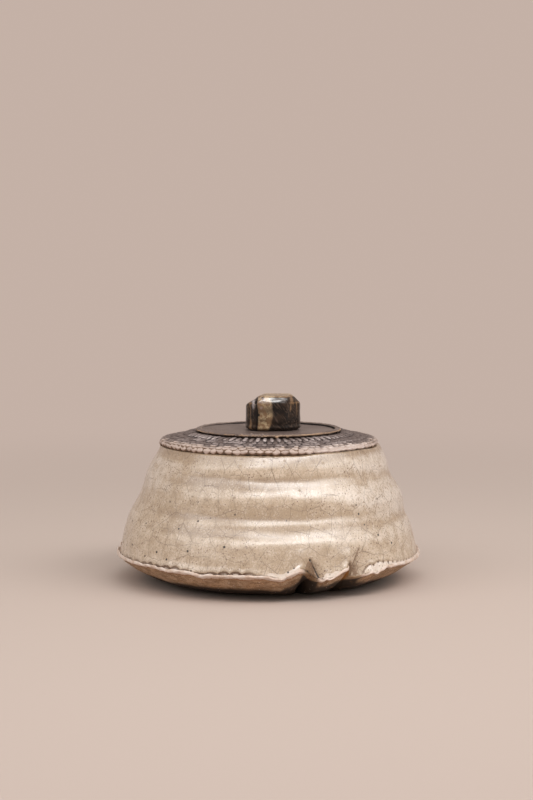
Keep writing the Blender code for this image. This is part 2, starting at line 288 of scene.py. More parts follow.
# Crackle, the main one first: size of its cells, width of its lines, and size and amount of the
# noise that shakes it
CRACKLES = (
    (0.0092, 0.00021, 0.0120, 0.0050),
    (0.0054, 0.00017, 0.0060, 0.0030),
    (0.0022, 0.00015, 0.0025, 0.0012),
)
UNROLLED_RADIUS = 0.070

# Iron specks, small, middling and large: spacing, radius, share of places filled and offset
SPECKS = (
    (0.0015, 0.00036, 0.90, (0.0, 0.0, 0.0)),
    (0.0040, 0.00050, 0.55, (0.02, 0.09, 0.04)),
    (0.0060, 0.00070, 0.80, (0.05, 0.02, 0.07)),
)

# Steps of the modelling: closest that points stay apart, a ring that closes to a point, halvings
# of each face, crowding of the steps towards the pleats and size of the cut knob's faces
MERGE = 0.00002
PIN_RADIUS = 0.000002
HALVINGS = 2
STEP_CROWDING = 0.5
KNOB_GRAIN = 0.00025

# The key light's softboxes, one behind another: width, height and share of its power
KEY_LAYERS = (
    (3.20, 0.66, 0.85),
    (2.30, 0.50, 1.1),
    (1.60, 0.34, 2.1),
)
LIGHT_AIM = (0.0, 0.0, 0.045)
LIGHT_DISTANCE = 1.8

# The photograph's camera, solved on the box's outline: place, dip in degrees and lens
CAMERA_PLACE = (-0.00107, -0.950, 0.174)
CAMERA_DIP = 4.6878
CAMERA_LENS = 79.907


# Noise and curves


def hashed(corner, seed):
    """A repeatable number from 0 to 1 for each corner of a lattice."""
    mixed = corner[:, 0] * 374761393 + corner[:, 1] * 668265263 + corner[:, 2] * 2147483629
    mixed = (mixed + seed * 1442695041) & 0xFFFFFFFF
    mixed = ((mixed ^ (mixed >> 13)) * 1274126177) & 0xFFFFFFFF
    mixed = ((mixed ^ (mixed >> 16)) * 2246822519) & 0xFFFFFFFF
    return ((mixed ^ (mixed >> 15)) & 0xFFFFFF) / 0xFFFFFF


def lumps(points, size, seed):
    """Smooth noise from -1 to 1 whose lumps are about that size."""
    cell = points / size
    low = np.floor(cell)
    part = cell - low
    part = part * part * (3.0 - 2.0 * part)
    low = low.astype(np.int64)
    total = np.zeros(len(points))
    for corner in np.ndindex(2, 2, 2):
        weight = np.prod(np.where(corner, part, 1.0 - part), axis=1)
        total += weight * hashed(low + corner, seed)
    return 2.0 * total - 1.0


def held(value):
    return np.clip(value, 0.0, 1.0)


def smooth_step(value, low=0.0, high=1.0):
    """0 below low, 1 above high, and smooth between. Low may be the larger."""
    part = held((value - low) / (high - low))
    return part * part * (3.0 - 2.0 * part)


def window(angle, shut, open_from, open_to, shut_again):
    """1 between the two middle angles, in degrees, and 0 past the two outer ones."""
    opened = smooth_step(angle, math.radians(shut), math.radians(open_from))
    return opened * smooth_step(-angle, -math.radians(shut_again), -math.radians(open_to))


def hump(value, middle, width):
    """1 at the middle, falling off on both sides."""
    return np.exp(-(((value - middle) / width) ** 2))


def bulge(angle, middle, width):
    """A hump of angles, given in degrees."""
    return hump(angle, math.radians(middle), math.radians(width))


def smooth_table(where, places, values):
    """Values between a table's places, along a smooth curve."""
    slopes = np.gradient(values, places)
    step = np.clip(np.searchsorted(places, where, side="right") - 1, 0, len(places) - 2)
    span = places[step + 1] - places[step]
    t = (where - places[step]) / span
    rise = values[step + 1] - values[step]
    start = slopes[step] * span - rise
    end = rise - slopes[step + 1] * span
    return values[step] + t * rise + t * (1.0 - t) * ((1.0 - t) * start + t * end)


def round_box(points):
    """Angle round the box, distance from its axis and height."""
    x, y, height = points.T
    return np.arctan2(x, -y), np.hypot(x, y), height


def at(angle, radius, height):
    return np.stack((radius * np.sin(angle), -radius * np.cos(angle), height), axis=1)


# Forms shared with the solids


def ring_share(down, angle):
    """The wall's share of its spread at a share of its height from the top, at an angle."""
    side = np.sin(angle)
    places = RING_SHARES[:, 0]
    left, front, right = (smooth_table(down, places, RING_SHARES[:, k]) for k in (1, 2, 3))
    flank = np.where(side > 0.0, right, left)
    return front * (1.0 - side**2) + flank * side**2


def wall_radius(down, angle):
    return WALL_TOP_RADIUS + (WALL_FOOT_RADIUS - WALL_TOP_RADIUS) * ring_share(down, angle)


def wall_about(down, span, angle):
    """Mean radius of the wall a span above and a span below a place."""
    return (wall_radius(held(down - span), angle) + wall_radius(held(down + span), angle)) / 2.0


def push_in(angle, pleat, lean_share):
    """How deep a pleat is at an angle, from 0 at its sides to 1 at its crease."""
    off = angle - PLEAT_CREASES[pleat] - PLEAT_LEANS[pleat] * lean_share
    width = np.where(off < 0.0, PLEAT_LEFT_WIDTHS[pleat], PLEAT_RIGHT_WIDTHS[pleat])
    return held(1.0 - np.abs(off) / width) ** PLEAT_SHARPNESS


def lip_lift(angle, pleat):
    """How far the lip climbs to a pleat's apex, and drops past it."""
    off = angle - PLEAT_APEXES[pleat]
    climb = PLEAT_CLIMBS[pleat]
    drop = PLEAT_DROPS[pleat]
    fall = PLEAT_FALLS[pleat]
    before = climb * held(1.0 + off / PLEAT_APPROACHES[pleat]) ** PLEAT_SHARPNESS
    falling = climb - (climb + drop) * smooth_step(off / fall)
    after = -drop * (1.0 - smooth_step((off - fall) / PLEAT_RECOVERIES[pleat]))
    return np.where(off < 0.0, before, np.where(off < fall, falling, after))


def pinched(angle, radius, height):
    """Radius and height of the foot's and wall's points where the clay is pinched into pleats."""
    above = height - FOOT_TOP
    under_share = held(height / FOOT_TOP)
    hollow_share = np.sin(np.pi * under_share**HOLLOW_CURVE)
    out_share = smooth_step((radius - FOOT_RADIUS) / PLEAT_REACH)
    reach_share = np.where(above > 0.0, held(1.0 - above / LIFT_REACH), under_share)
    push = 0.0
    lift = smooth_table(np.clip(np.degrees(angle), *LIP_WANDER[[0, -1], 0]), *LIP_WANDER.T)
    for pleat, depth in enumerate(PLEAT_DEPTHS):
        up_share = held(above / PLEAT_HEIGHTS[pleat])
        deep = depth * (1.0 - up_share) + (PLEAT_UNDERCUTS[pleat] - depth) * hollow_share
        push = push + deep * push_in(angle, pleat, up_share)
        lift = lift + lip_lift(angle, pleat)
    tilt_share = np.where(above > 0.0, 1.0 - above / WALL_HEIGHT, under_share)
    lowered = LIP_TILT * tilt_share * radius * np.sin(angle) / LIP_RADIUS
    return radius - push * out_share, height + lift * reach_share * out_share - lowered


def torn(angle, above):
    """The gusset, the crack beside it and the hole over it in the first pleat, each 0 to 1."""
    climb = np.clip((above + GUSSET_DIP) / GUSSET_RISE, -0.3, 1.0)
    left = GUSSET_LEFT[0] + np.diff(GUSSET_LEFT) * climb
    right = GUSSET_RIGHT[0] + np.diff(GUSSET_RIGHT) * climb
    inside = smooth_step((angle - left) * WALL_FOOT_RADIUS, -0.0002, 0.0003)
    inside *= smooth_step((right - angle) * WALL_FOOT_RADIUS, -0.0002, 0.0002)
    gusset = inside * smooth_step(HOLE_PLACE[1] - above, 0.0, 0.0008)
    width = 0.00022 + 0.00060 * (1.0 - climb) ** 1.5
    crack = hump((angle - right) * WALL_FOOT_RADIUS, 0.0, width)
    crack *= smooth_step(GUSSET_RISE - GUSSET_DIP - above, 0.0, 0.0008)
    hole = hump((angle - HOLE_PLACE[0]) * WALL_FOOT_RADIUS, 0.0, 0.00060)
    hole *= hump(above, HOLE_PLACE[1], 0.00065)
    return gusset, crack, hole


def crease(angle, above):
    """How deep a point of the wall lies in the second pleat's crease, 0 to 1."""
    climb = held(above / CREASE_RISE)
    along = (angle - CREASE_PATH[0] - np.diff(CREASE_PATH) * climb) * WALL_FOOT_RADIUS
    valley = hump(along, 0.0, 0.00080 + 0.0012 * (1.0 - climb) ** 2)
    return valley * smooth_step(CREASE_RISE + 0.0012 - above, 0.0, 0.0014)


def slope_height(radius):
    """Height of the shoulder's slope at a radius."""
    out = (radius - SEAT_RADIUS) / (SHOULDER_RADIUS - SEAT_RADIUS)
    return SHOULDER_CORNER + SHOULDER_RISE * np.interp(out, *SLOPE_SHARES.T)


def raised(angle):
    """How far the wall's top climbs over the shoulder's edge at the right front."""
    return RAISED_HEIGHT * window(angle, 14.0, 28.0, 55.0, 72.0)


def in_fold(angle):
    """1 inside the folds of clay that show between the lips of the pleats, and 0 outside."""
    return window(angle, 11.6, 14.2, 17.6, 19.4) + window(angle, 30.9, 31.9, 36.0, 38.5)


# Modelling


def ring_stack(name, rings, steps):
    """A circle drawn up, opened out or drawn in, ring by ring, as clay is on a wheel, then refined."""
    bpy.ops.object.select_all(action="DESELECT")
    radius, height = rings[0]
    bpy.ops.mesh.primitive_circle_add(vertices=steps, radius=radius, location=(0.0, 0.0, height))
    piece = bpy.context.object
    piece.name = name
    piece.data.name = name
    bpy.ops.object.transform_apply()
    bpy.ops.object.mode_set(mode="EDIT")
    bpy.ops.mesh.select_all(action="SELECT")
    for ring in rings[1:]:
        rise = (0.0, 0.0, ring[1] - height)
        grow = ring[0] / radius
        bpy.ops.mesh.extrude_region_move(TRANSFORM_OT_translate={"value": rise})
        bpy.ops.transform.resize(value=(grow, grow, 1.0), center_override=(0.0, 0.0, ring[1]))
        radius, height = ring
    bpy.ops.mesh.select_all(action="SELECT")
    bpy.ops.mesh.remove_doubles(threshold=MERGE)
    bpy.ops.mesh.normals_make_consistent(inside=False)
    bpy.ops.object.mode_set(mode="OBJECT")
    finished(piece, "SUBSURF", subdivision_type="SIMPLE", levels=HALVINGS, render_levels=HALVINGS)
    return piece


def finished(piece, kind, **settings):
    """Adds a modifier to a piece and applies it."""
    modifier = piece.modifiers.new(kind.title(), kind)
    for name, setting in settings.items():
        setattr(modifier, name, setting)
    bpy.context.view_layer.objects.active = piece
    bpy.ops.object.modifier_apply(modifier=modifier.name)


def points_of(piece):
    points = np.empty(len(piece.data.vertices) * 3, np.float32)
    piece.data.vertices.foreach_get("co", points)
    return points.reshape(-1, 3).astype(float)


def moved_to(piece, points):
    piece.data.vertices.foreach_set("co", points.astype(np.float32).ravel())
    piece.data.update()


def noted(piece, **notes):
    """Keeps a number from 0 to 1 or so for each vertex, under each name, for the finish to read."""
    for name, values in notes.items():
        note = piece.data.attributes.new(name, "FLOAT", "POINT")
        values = np.broadcast_to(values, len(piece.data.vertices))
        note.data.foreach_set("value", values.astype(np.float32))


def placed(piece, name, across, along):
    """Keeps a place on the unrolled surface for each vertex, for a pattern to follow."""
    note = piece.data.attributes.new(name, "FLOAT_VECTOR", "POINT")
    flat = np.stack((across, along, np.zeros(len(across))), axis=1)
    note.data.foreach_set("vector", flat.astype(np.float32).ravel())


def crowded(points):
    """Slides steps round the axis so that they lie closer together at the pleats."""
    angle, radius, height = round_box(points)
    return at(angle - STEP_CROWDING * np.sin(angle - PLEAT_CREASES.mean()), radius, height)


def dressed(piece, body, node, material):
    """Gives a piece its finish, attaches it to what it rides on and hides the solid that it stands for."""
    bpy.ops.object.select_all(action="DESELECT")
    piece.select_set(True)
    bpy.context.view_layer.objects.active = piece
    bpy.ops.object.shade_smooth()
    piece.data.materials.clear()
    piece.data.materials.append(material)
    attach(piece, body)
    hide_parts(node)


# Shader building


class Wire:
    """A shader value that sums and products can be written with."""

    def __init__(self, paint, socket):
        self.paint = paint
        self.socket = socket

    def worked(self, operation, first, second):
        return self.paint.add("ShaderNodeMath", {"operation": operation}, {0: first, 1: second})

    def __add__(self, other):
        return self.worked("ADD", self, other)

    def __sub__(self, other):
        return self.worked("SUBTRACT", self, other)

    def __rsub__(self, other):
        return self.worked("SUBTRACT", other, self)

    def __mul__(self, other):
        return self.worked("MULTIPLY", self, other)

    def __abs__(self):
        return self.worked("ABSOLUTE", self, 0.0)

    __radd__ = __add__
    __rmul__ = __mul__


class Paint:
    """A material whose nodes are added one by one."""

    def __init__(self, name):
        self.material = bpy.data.materials.new(name)
        self.material.use_nodes = True
        self.tree = self.material.node_tree
        self.shader = self.tree.nodes["Principled BSDF"]
        self.place = self.add("ShaderNodeTexCoord", {}, {}, "Object")

    def feed(self, socket, value):
        if isinstance(value, Wire):
            self.tree.links.new(value.socket, socket)
        else:
            socket.default_value = value

    def add(self, kind, settings, values, out=0):
        """A node with its settings and inputs, as the wire from one of its outputs."""
        node = self.tree.nodes.new(kind)
        for name, setting in settings.items():
            setattr(node, name, setting)
        for name, value in values.items():
            self.feed(node.inputs[name], value)
        return Wire(self, node.outputs[out])

    def note(self, name, out="Fac"):
        return self.add("ShaderNodeAttribute", {"attribute_name": name}, {}, out)

    def notes(self, *names):
        return [self.note(name) for name in names]

    def stretched(self, scale=(1.0, 1.0, 1.0), offset=(0.0, 0.0, 0.0)):
        values = {"Vector": self.place, "Scale": scale, "Location": offset}
        return self.add("ShaderNodeMapping", {}, values)

    def noise(self, size, detail=2.0, place=None, out="Fac"):
        values = {"Vector": place or self.place, "Scale": 1.0 / size, "Detail": detail}
        return self.add("ShaderNodeTexNoise", {}, values, out)

    def patches(self, size, low, high, offset):
        """Soft patches of a size, 0 to 1, moved aside by an offset."""
        return self.ramp(self.noise(size, 1.0, self.stretched(offset=offset)), low, high)

    def vector(self, operation, values, out=0):
        return self.add("ShaderNodeVectorMath", {"operation": operation}, values, out)

    def shaken(self, place, size, amount):
        """A place moved about by noise, so that a pattern on it loses its regularity."""
        cloud = self.noise(size, 2.0, place, "Color")
        centred = self.vector("SUBTRACT", {0: cloud, 1: (0.5, 0.5, 0.5)})
        return self.vector("ADD", {0: place, 1: self.vector("SCALE", {0: centred, "Scale": amount})})

    def ragged(self, value, *noises):
        """A value made uneven by noises, each with its share."""
        for noise, share in noises:
            value = value + (noise - 0.5) * share
        return value

    def ramp(self, value, low, high, *noises):
        """0 below low, 1 above high, and smooth between. Low may be the larger."""
        value = self.ragged(value, *noises)
        values = {"Value": value, "From Min": low, "From Max": high, "To Min": 0.0, "To Max": 1.0}
        if low > high:
            values.update({"From Min": high, "From Max": low, "To Min": 1.0, "To Max": 0.0})
        return self.add("ShaderNodeMapRange", {"interpolation_type": "SMOOTHSTEP"}, values)

    def cracks(self, place, size, width):
        """Lines of a width round flat cells of a size."""
        settings = {"feature": "DISTANCE_TO_EDGE", "voronoi_dimensions": "2D"}
        edge = self.add("ShaderNodeTexVoronoi", settings, {"Vector": place, "Scale": 1.0 / size}, "Distance")
        return self.ramp(edge, width / size, 0.2 * width / size)

    def specks(self, place, spacing, radius, share):
        """Round specks of up to a radius, in a share of cells of a spacing."""
        values = {"Vector": place, "Scale": 1.0 / spacing}
        near = self.add("ShaderNodeTexVoronoi", {}, values, "Distance")
        chance = self.add("ShaderNodeTexVoronoi", {}, values, "Color")
        drawn = self.add("ShaderNodeSeparateColor", {}, {"Color": chance}, "Red")
        chosen = self.ramp(drawn, 1.0 - share, 1.0 - 0.7 * share)
        size = radius / spacing
        return self.ramp(near - chosen * size, 0.05 * size, -0.25 * size) * chosen

    def mixed(self, mask, first, second):
        """A colour between two, by a mask."""
        settings = {"data_type": "RGBA", "clamp_factor": True}
        values = {0: mask}
        for socket, colour in ((6, first), (7, second)):
            values[socket] = colour if isinstance(colour, Wire) else (*colour, 1.0)
        return self.add("ShaderNodeMix", settings, values, 2)

    def layered(self, ground, *layers):
        """Colours laid over a ground one after another, each through its mask."""
        for mask, colour in layers:
            ground = self.mixed(mask, ground, colour)
        return ground

    def bumped(self, height, depth):
        values = {"Height": height, "Strength": 1.0, "Distance": depth}
        return self.add("ShaderNodeBump", {}, values, "Normal")

    def finish(self, colour, roughness, normal, **constants):
        self.feed(self.shader.inputs["Base Color"], colour)
        self.feed(self.shader.inputs["Roughness"], roughness)
        self.feed(self.shader.inputs["Normal"], normal)
        for name, value in constants.items():
            self.shader.inputs[name.replace("_", " ")].default_value = value
        return self.material


# Finishes


def crackle_glaze(look):
    """Cream raku glaze: tan where it pools in the hollows and where shade is painted at the front and by the
    pleats, pale on thin ridges and with painted light on the upper sides, with a painted shadow under the
    shoulder and painted shade in the first pleat's crack and hole, crackled and specked with iron.
    """
    paint = Paint("crackle glaze")
    hollow, tight, burnt, off_edge, low = paint.notes("hollow", "tight", "burnt", "off_edge", "low")
    crack, slip, fold, streak, flank = paint.notes("crack", "slip", "fold", "streak", "flank")
    back = paint.ramp(paint.note("back"), 0.499, 0.501)
    places = {0: back, 4: paint.note("unrolled", "Vector"), 5: paint.note("unrolled_back", "Vector")}
    flat = paint.add("ShaderNodeMix", {"data_type": "VECTOR"}, places, 1)
    blotch = paint.noise(0.028)
    mottle = paint.noise(0.0050, 3.0)
    fleck = paint.noise(0.0011)
    grain = paint.noise(0.0007, 1.0)
    runs = paint.noise(0.0020, 1.0, paint.stretched((1.0, 1.0, 0.12)))
    main, second, fine = (
        paint.cracks(paint.shaken(flat, shake, amount), size, width)
        for size, width, shake, amount in CRACKLES
    )
    small, middling, large = (
        paint.specks(paint.stretched(offset=offset), spacing, radius, share)
        for spacing, radius, share, offset in SPECKS
    )
    cover = paint.patches(0.013, 0.36, 0.64, (0.3, 0.1, 0.2))
    hidden = paint.patches(0.011, 0.42, 0.60, (0.1, 0.4, 0.3))
    crowd = paint.patches(0.018, 0.34, 0.62, (0.2, 0.3, 0.1))

    # The hollow note carries real pooling and painted shade at the front and by the pleats
    pooled_and_shaded = paint.ramp(hollow, -0.55, 0.65, (blotch, 0.5), (mottle, 1.0))
    # The flank note adds painted light on the upper sides to the thin glaze's blush
    thin = paint.ramp(hollow - flank * 0.9, 0.05, -1.00, (mottle, 0.6))
    deep = main * (0.36 + cover * 0.30) + second * (0.10 + hidden * 0.40)
    white = paint.ramp(slip, 0.42, 0.72, (mottle, 1.5), (fleck, 0.7))
    milky = paint.mixed(paint.ramp(fleck, 0.50, 0.70, (grain, 0.5)) * 0.7, look.slip, look.cream)
    ragged = paint.ragged(off_edge, (fleck, 0.5), (mottle, 0.6))
    scorched = paint.ramp(abs(ragged), 0.62, 0.24) * burnt
    halo = paint.ramp(ragged, 2.2, 0.2) * paint.ramp(ragged, -0.3, 0.1)
    colour = paint.layered(
        look.cream,
        (pooled_and_shaded, look.tan),
        (thin * 0.75, look.blush),
        (paint.ramp(tight, 0.15, 1.1, (mottle, 1.2)) * 0.65, look.umber),
        (paint.ramp(fleck, 0.46, 0.66, (mottle, 0.7)) * 0.42, look.tan),
        (paint.ramp(grain, 0.52, 0.66, (fleck, 0.6)) * 0.30, look.craze),
        (paint.ramp(grain, 0.44, 0.30, (mottle, 0.4)) * 0.30, look.blush),
        # The amber under the shoulder is partly painted shadow
        (streak * (0.25 + paint.ramp(runs, 0.35, 0.70) * 0.45), look.amber),
        (fine * (0.14 + pooled_and_shaded * 0.26), look.craze),
        (deep, look.crack),
        (paint.ramp(fold, 0.15, 0.95, (fleck, 1.6), (mottle, 1.0)), look.amber),
        (white * 0.85, milky),
        (small * (0.30 + 0.60 * crowd), look.rust),
        (middling * (0.30 + 0.60 * crowd), look.rust),
        (large * (0.15 + 0.85 * low), look.iron),
        (halo * burnt * 0.40, look.umber),
        (scorched * 0.9, look.burnt),
        # Painted shade: the crack and the hole in the first pleat are painted iron-dark
        (paint.ramp(crack, 0.35, 0.65, (fleck, 0.5)), look.iron),
    )
    stained = deep + scorched * 1.2 + large + middling * 0.6
    paint.feed(paint.shader.inputs["Coat Weight"], paint.ramp(stained, 1.0, 0.2))
    roughness = 0.34 + mottle * 0.20 + low * 0.10
    normal = paint.bumped(fleck * 0.30 + mottle - main * 0.3, 0.00010)
    coat = {"Coat_IOR": 1.85, "Coat_Roughness": 0.26, "Coat_Tint": (1.0, 1.0, 1.0, 1.0)}
    return paint.finish(colour, roughness, normal, IOR=1.55, Specular_Tint=(0.88, 0.94, 1.0, 1.0), **coat)


def bare_clay(look):
    """Grogged clay, scorched in patches and darkened with painted shade towards the table and under the
    pleats, with a pale slipped lip.
    """
    paint = Paint("bare clay")
    lip, smoke, inside, fold, pool = paint.notes("lip", "smoke", "inside", "fold", "pool")
    blotch = paint.noise(0.014, 3.0)
    mottle = paint.noise(0.0040, 4.0)
    grit = paint.noise(0.0008, 3.0)
    streaks = paint.noise(0.0012, 3.0, paint.stretched((0.25, 0.25, 1.0)))
    grog = paint.specks(paint.stretched(offset=(0.03, 0.05, 0.01)), 0.0026, 0.00042, 0.5)
    edge = paint.ragged(lip, (mottle, 1.1), (grit, 0.5))
    slip = paint.layered(
        look.slip,
        (paint.ramp(mottle, 0.36, 0.62), look.blush),
        (paint.ramp(grit, 0.52, 0.80, (mottle, 1.0)) * 0.4, look.clay),
    )
    folded = paint.mixed(paint.ramp(mottle, 0.44, 0.60, (grit, 0.6)), look.amber, look.scorched)
    colour = paint.layered(
        look.clay,
        (paint.ramp(blotch, 0.34, 0.66, (mottle, 0.8)), look.scorched),
        (paint.ramp(streaks, 0.46, 0.58, (grit, 0.4)) * 0.80, look.scorched),
        (paint.ramp(mottle, 0.50, 0.60, (grit, 0.9)) * 0.75, look.pale),
        (paint.ramp(grit, 0.52, 0.62) * 0.6, look.scorched),
        (paint.ramp(grit, 0.42, 0.34) * 0.5, look.pale),
        # Painted shade: soot towards the table and under the pleats
        (paint.ramp(smoke, 0.10, 0.90, (blotch, 0.6)), look.soot),
        (paint.specks(paint.place, 0.0022, 0.00034, 0.6) * 0.8, look.soot),
        (grog * 0.7, look.slip),
        (paint.ramp(edge, 0.10, 0.40) * 0.95, look.rust),
        (paint.ramp(edge, 0.44, 0.56), slip),
        (fold * paint.ramp(lip, 0.05, 0.30), folded),
        (paint.ramp(pool, 0.25, 0.75, (grit, 0.4)), look.pool),
        (inside, look.lining),
    )
    roughness = 0.70 - paint.ramp(lip, 0.4, 0.8) * 0.28 - inside * 0.15
    rough = mottle * 1.2 + grit * 0.6 + grog * 0.8
    return paint.finish(colour, roughness, paint.bumped(rough, 0.00035), IOR=1.45)


def smoked_clay(look):
    """Smoked pink-grey clay, black in its grooves and in painted shade, tan or pink on its worn edges, and
    pale with painted highlights.
    """
    paint = Paint("smoked clay")
    groove, worn, tone, lit = paint.notes("groove", "worn", "tone", "lit")
    blotch = paint.noise(0.012)
    mottle = paint.noise(0.0030, 3.0)
    grit = paint.noise(0.0008)
    colour = paint.layered(
        look.smoke,
        (paint.ramp(tone, 0.1, 0.9, (blotch, 0.6), (mottle, 0.7)), look.ash),
        (paint.ramp(mottle, 0.54, 0.75, (grit, 0.5)) * 0.45, look.soot),
        (paint.ramp(worn, 0.10, 1.0, (mottle, 0.6)), look.worn),
        # Painted highlights on the shoulder's cells and the lid's marks, with some real pale wear
        (paint.ramp(lit, 0.35, 1.0, (mottle, 0.8)) * 0.8, look.pale),
        (paint.ramp(groove, 0.25, 0.68, (mottle, 0.3)), paint.mixed(worn, look.soot, look.brown)),
    )
    roughness = 0.32 + mottle * 0.20 + groove * 0.2
    normal = paint.bumped(mottle + grit * 0.5, 0.00012)
    return paint.finish(colour, roughness, normal, Specular_IOR_Level=0.25)


def dark_glaze(look):
    """Near-black glaze that breaks to tan on edges, glossy where thick, run cream on one face, with a painted
    whitish highlight on the left facet, the bevel and the band.
    """
    paint = Paint("dark glaze")
    edge, band, pit, gloss, bloom = paint.notes("edge", "band", "pit", "gloss", "bloom")
    blotch = paint.noise(0.006, 3.0)
    mottle = paint.noise(0.0018, 3.0)
    turned = {"Vector": paint.place, "Rotation": (0.0, math.radians(52.0), 0.0), "Scale": (7.0, 1.0, 1.0)}
    slanted = paint.add("ShaderNodeMapping", {"vector_type": "TEXTURE"}, turned)
    scratches = paint.noise(0.0007, 2.0, slanted)
    veined = paint.ragged(blotch, (mottle, 0.3))
    cream = paint.layered(
        look.cream,
        (paint.ramp(blotch, 0.40, 0.62, (mottle, 0.9)), look.tan),
        (paint.ramp(veined, 0.485, 0.50) * paint.ramp(veined, 0.515, 0.50) * 0.7, look.brown),
    )
    colour = paint.layered(
        look.night,
        (paint.ramp(blotch, 0.42, 0.68) * 0.6, look.brown),
        (paint.ramp(scratches, 0.50, 0.62) * 0.8, look.smear),
        (paint.ramp(edge, 0.30, 0.95, (mottle, 0.7)), look.tan),
        (paint.ramp(band, 0.20, 0.90, (blotch, 0.6), (mottle, 0.5)), cream),
        # Painted highlight: a whitish glint on the left facet, the bevel and the band
        (paint.ramp(bloom, 0.20, 0.90, (mottle, 0.8)) * 0.8, look.bloom),
        (paint.ramp(pit, 0.4, 0.7, (mottle, 0.4)), look.night),
    )
    paint.feed(paint.shader.inputs["Coat Weight"], gloss)
    roughness = 0.24 + mottle * 0.12
    normal = paint.bumped(mottle + blotch * 0.8 + scratches * 0.9, 0.00018)
    return paint.finish(colour, roughness, normal, IOR=1.33, Coat_IOR=2.2, Coat_Roughness=0.28)


# What a user would change


def colour_of(name, description, default):
    return bpy.props.FloatVectorProperty(
        name=name, description=description, default=default, subtype="COLOR", min=0.0, max=1.0
    )


def length_of(name, description, default):
    return bpy.props.FloatProperty(
        name=name, description=description, default=default, unit="LENGTH", precision=5
    )


def amount_of(name, description, default, unit="NONE"):
    return bpy.props.FloatProperty(name=name, description=description, default=default, unit=unit)


class RakuFootSettings(bpy.types.PropertyGroup):
    clay: colour_of("Clay", "Lit clay of the foot", (0.48, 0.305, 0.18))
    scorched: colour_of("Scorched clay", "Clay browned in the fire", (0.24, 0.135, 0.068))
    pale: colour_of("Pale clay", "Lighter patches of clay", (0.66, 0.48, 0.33))
    # Painted shade: the soot darkens the foot towards the table and under the pleats, and also colours small
    # dark specks
    soot: colour_of("Soot", "Smoked clay near the table", (0.040, 0.025, 0.016))
    slip: colour_of("Slip", "Pale slip on the lip", (0.74, 0.62, 0.545))
    blush: colour_of("Blush", "Pinker patches of slip", (0.66, 0.51, 0.42))
    rust: colour_of("Rust", "Clay burnt orange under the lip", (0.33, 0.165, 0.075))
    amber: colour_of("Amber", "Glaze run into the pleats", (0.30, 0.20, 0.115))
    pool: colour_of("Pool", "Thick amber glaze caught in the second pleat", (0.52, 0.24, 0.055))
    lining: colour_of("Lining", "Glaze inside the dish", (0.30, 0.22, 0.16))
    unevenness: length_of("Unevenness", "How far the lip wanders", 0.00045)


class RakuWallSettings(bpy.types.PropertyGroup):
    cream: colour_of("Cream", "Glaze at its usual thickness", (0.665, 0.53, 0.395))
    # The tan also serves as painted shade at the front and by the pleats
    tan: colour_of("Tan", "Glaze pooled in the hollows", (0.43, 0.31, 0.195))
    umber: colour_of("Umber", "Glaze in the tightest creases", (0.27, 0.175, 0.10))
    # The blush also serves as painted light on the upper sides
    blush: colour_of("Blush", "Thin glaze on the ridges", (0.75, 0.66, 0.58))
    craze: colour_of("Crazing", "Fine crackle", (0.30, 0.22, 0.15))
    crack: colour_of("Cracks", "Main crackle, stained by smoke", (0.15, 0.10, 0.065))
    # The iron also serves as painted shade in the first pleat's crack and hole
    iron: colour_of("Iron", "Large specks of iron", (0.045, 0.030, 0.022))
    rust: colour_of("Rust", "Small specks of iron", (0.17, 0.095, 0.050))
    # The amber under the shoulder is partly painted shadow
    amber: colour_of("Amber", "Glaze run thick under the shoulder and in the pleats", (0.24, 0.145, 0.075))
    slip: colour_of("Slip", "Pale slip where the glaze thins at the lip", (0.72, 0.61, 0.525))
    burnt: colour_of("Burnt edge", "Where the glaze ends over the lip", (0.085, 0.036, 0.013))
    unevenness: length_of("Unevenness", "How far the thrown wall wanders", 0.00028)


class RakuShoulderSettings(bpy.types.PropertyGroup):
    smoke: colour_of("Smoked clay", "Clay of the shoulder", (0.135, 0.100, 0.090))
    ash: colour_of("Ash", "Pink-grey tops of the cells", (0.31, 0.25, 0.235))
    worn: colour_of("Worn clay", "Paler clay along the edge", (0.54, 0.42, 0.36))
    # Painted highlight on the cells' tips and edges, and the pale edge at the right front
    pale: colour_of("Pale edges", "Thin glaze on the cells' outer edges", (0.68, 0.59, 0.55))
    # The brown and the soot also serve as painted shade under the edge and next to the lid's rim
    brown: colour_of("Brown", "Grooves near the edge", (0.19, 0.115, 0.072))
    soot: colour_of("Soot", "Grooves between the cells", (0.040, 0.030, 0.028))
    relief: length_of("Relief", "Depth of the stamped cells", 0.00055)


class RakuLidSettings(bpy.types.PropertyGroup):
    smoke: colour_of("Smoked clay", "Clay of the lid", (0.115, 0.083, 0.072))
    ash: colour_of("Ash", "Greyer patches", (0.22, 0.165, 0.145))
    worn: colour_of("Worn clay", "Tan clay along the rim's edges", (0.44, 0.28, 0.17))
    # Painted highlight, with some pale wear, on the rim's teeth, its rubbed corner and the disc's strokes
    pale: colour_of("Pale edges", "Thin glaze on the rim's marks", (0.56, 0.44, 0.36))
    # The brown and the soot also serve as painted shade on the rim's undercut face and at the step inside the
    # rim
    brown: colour_of("Brown", "Burnt clay under the rim", (0.060, 0.034, 0.022))
    soot: colour_of("Soot", "Pits and the step inside the rim", (0.018, 0.013, 0.012))
    unevenness: length_of("Unevenness", "How far the rim wanders", 0.00030)


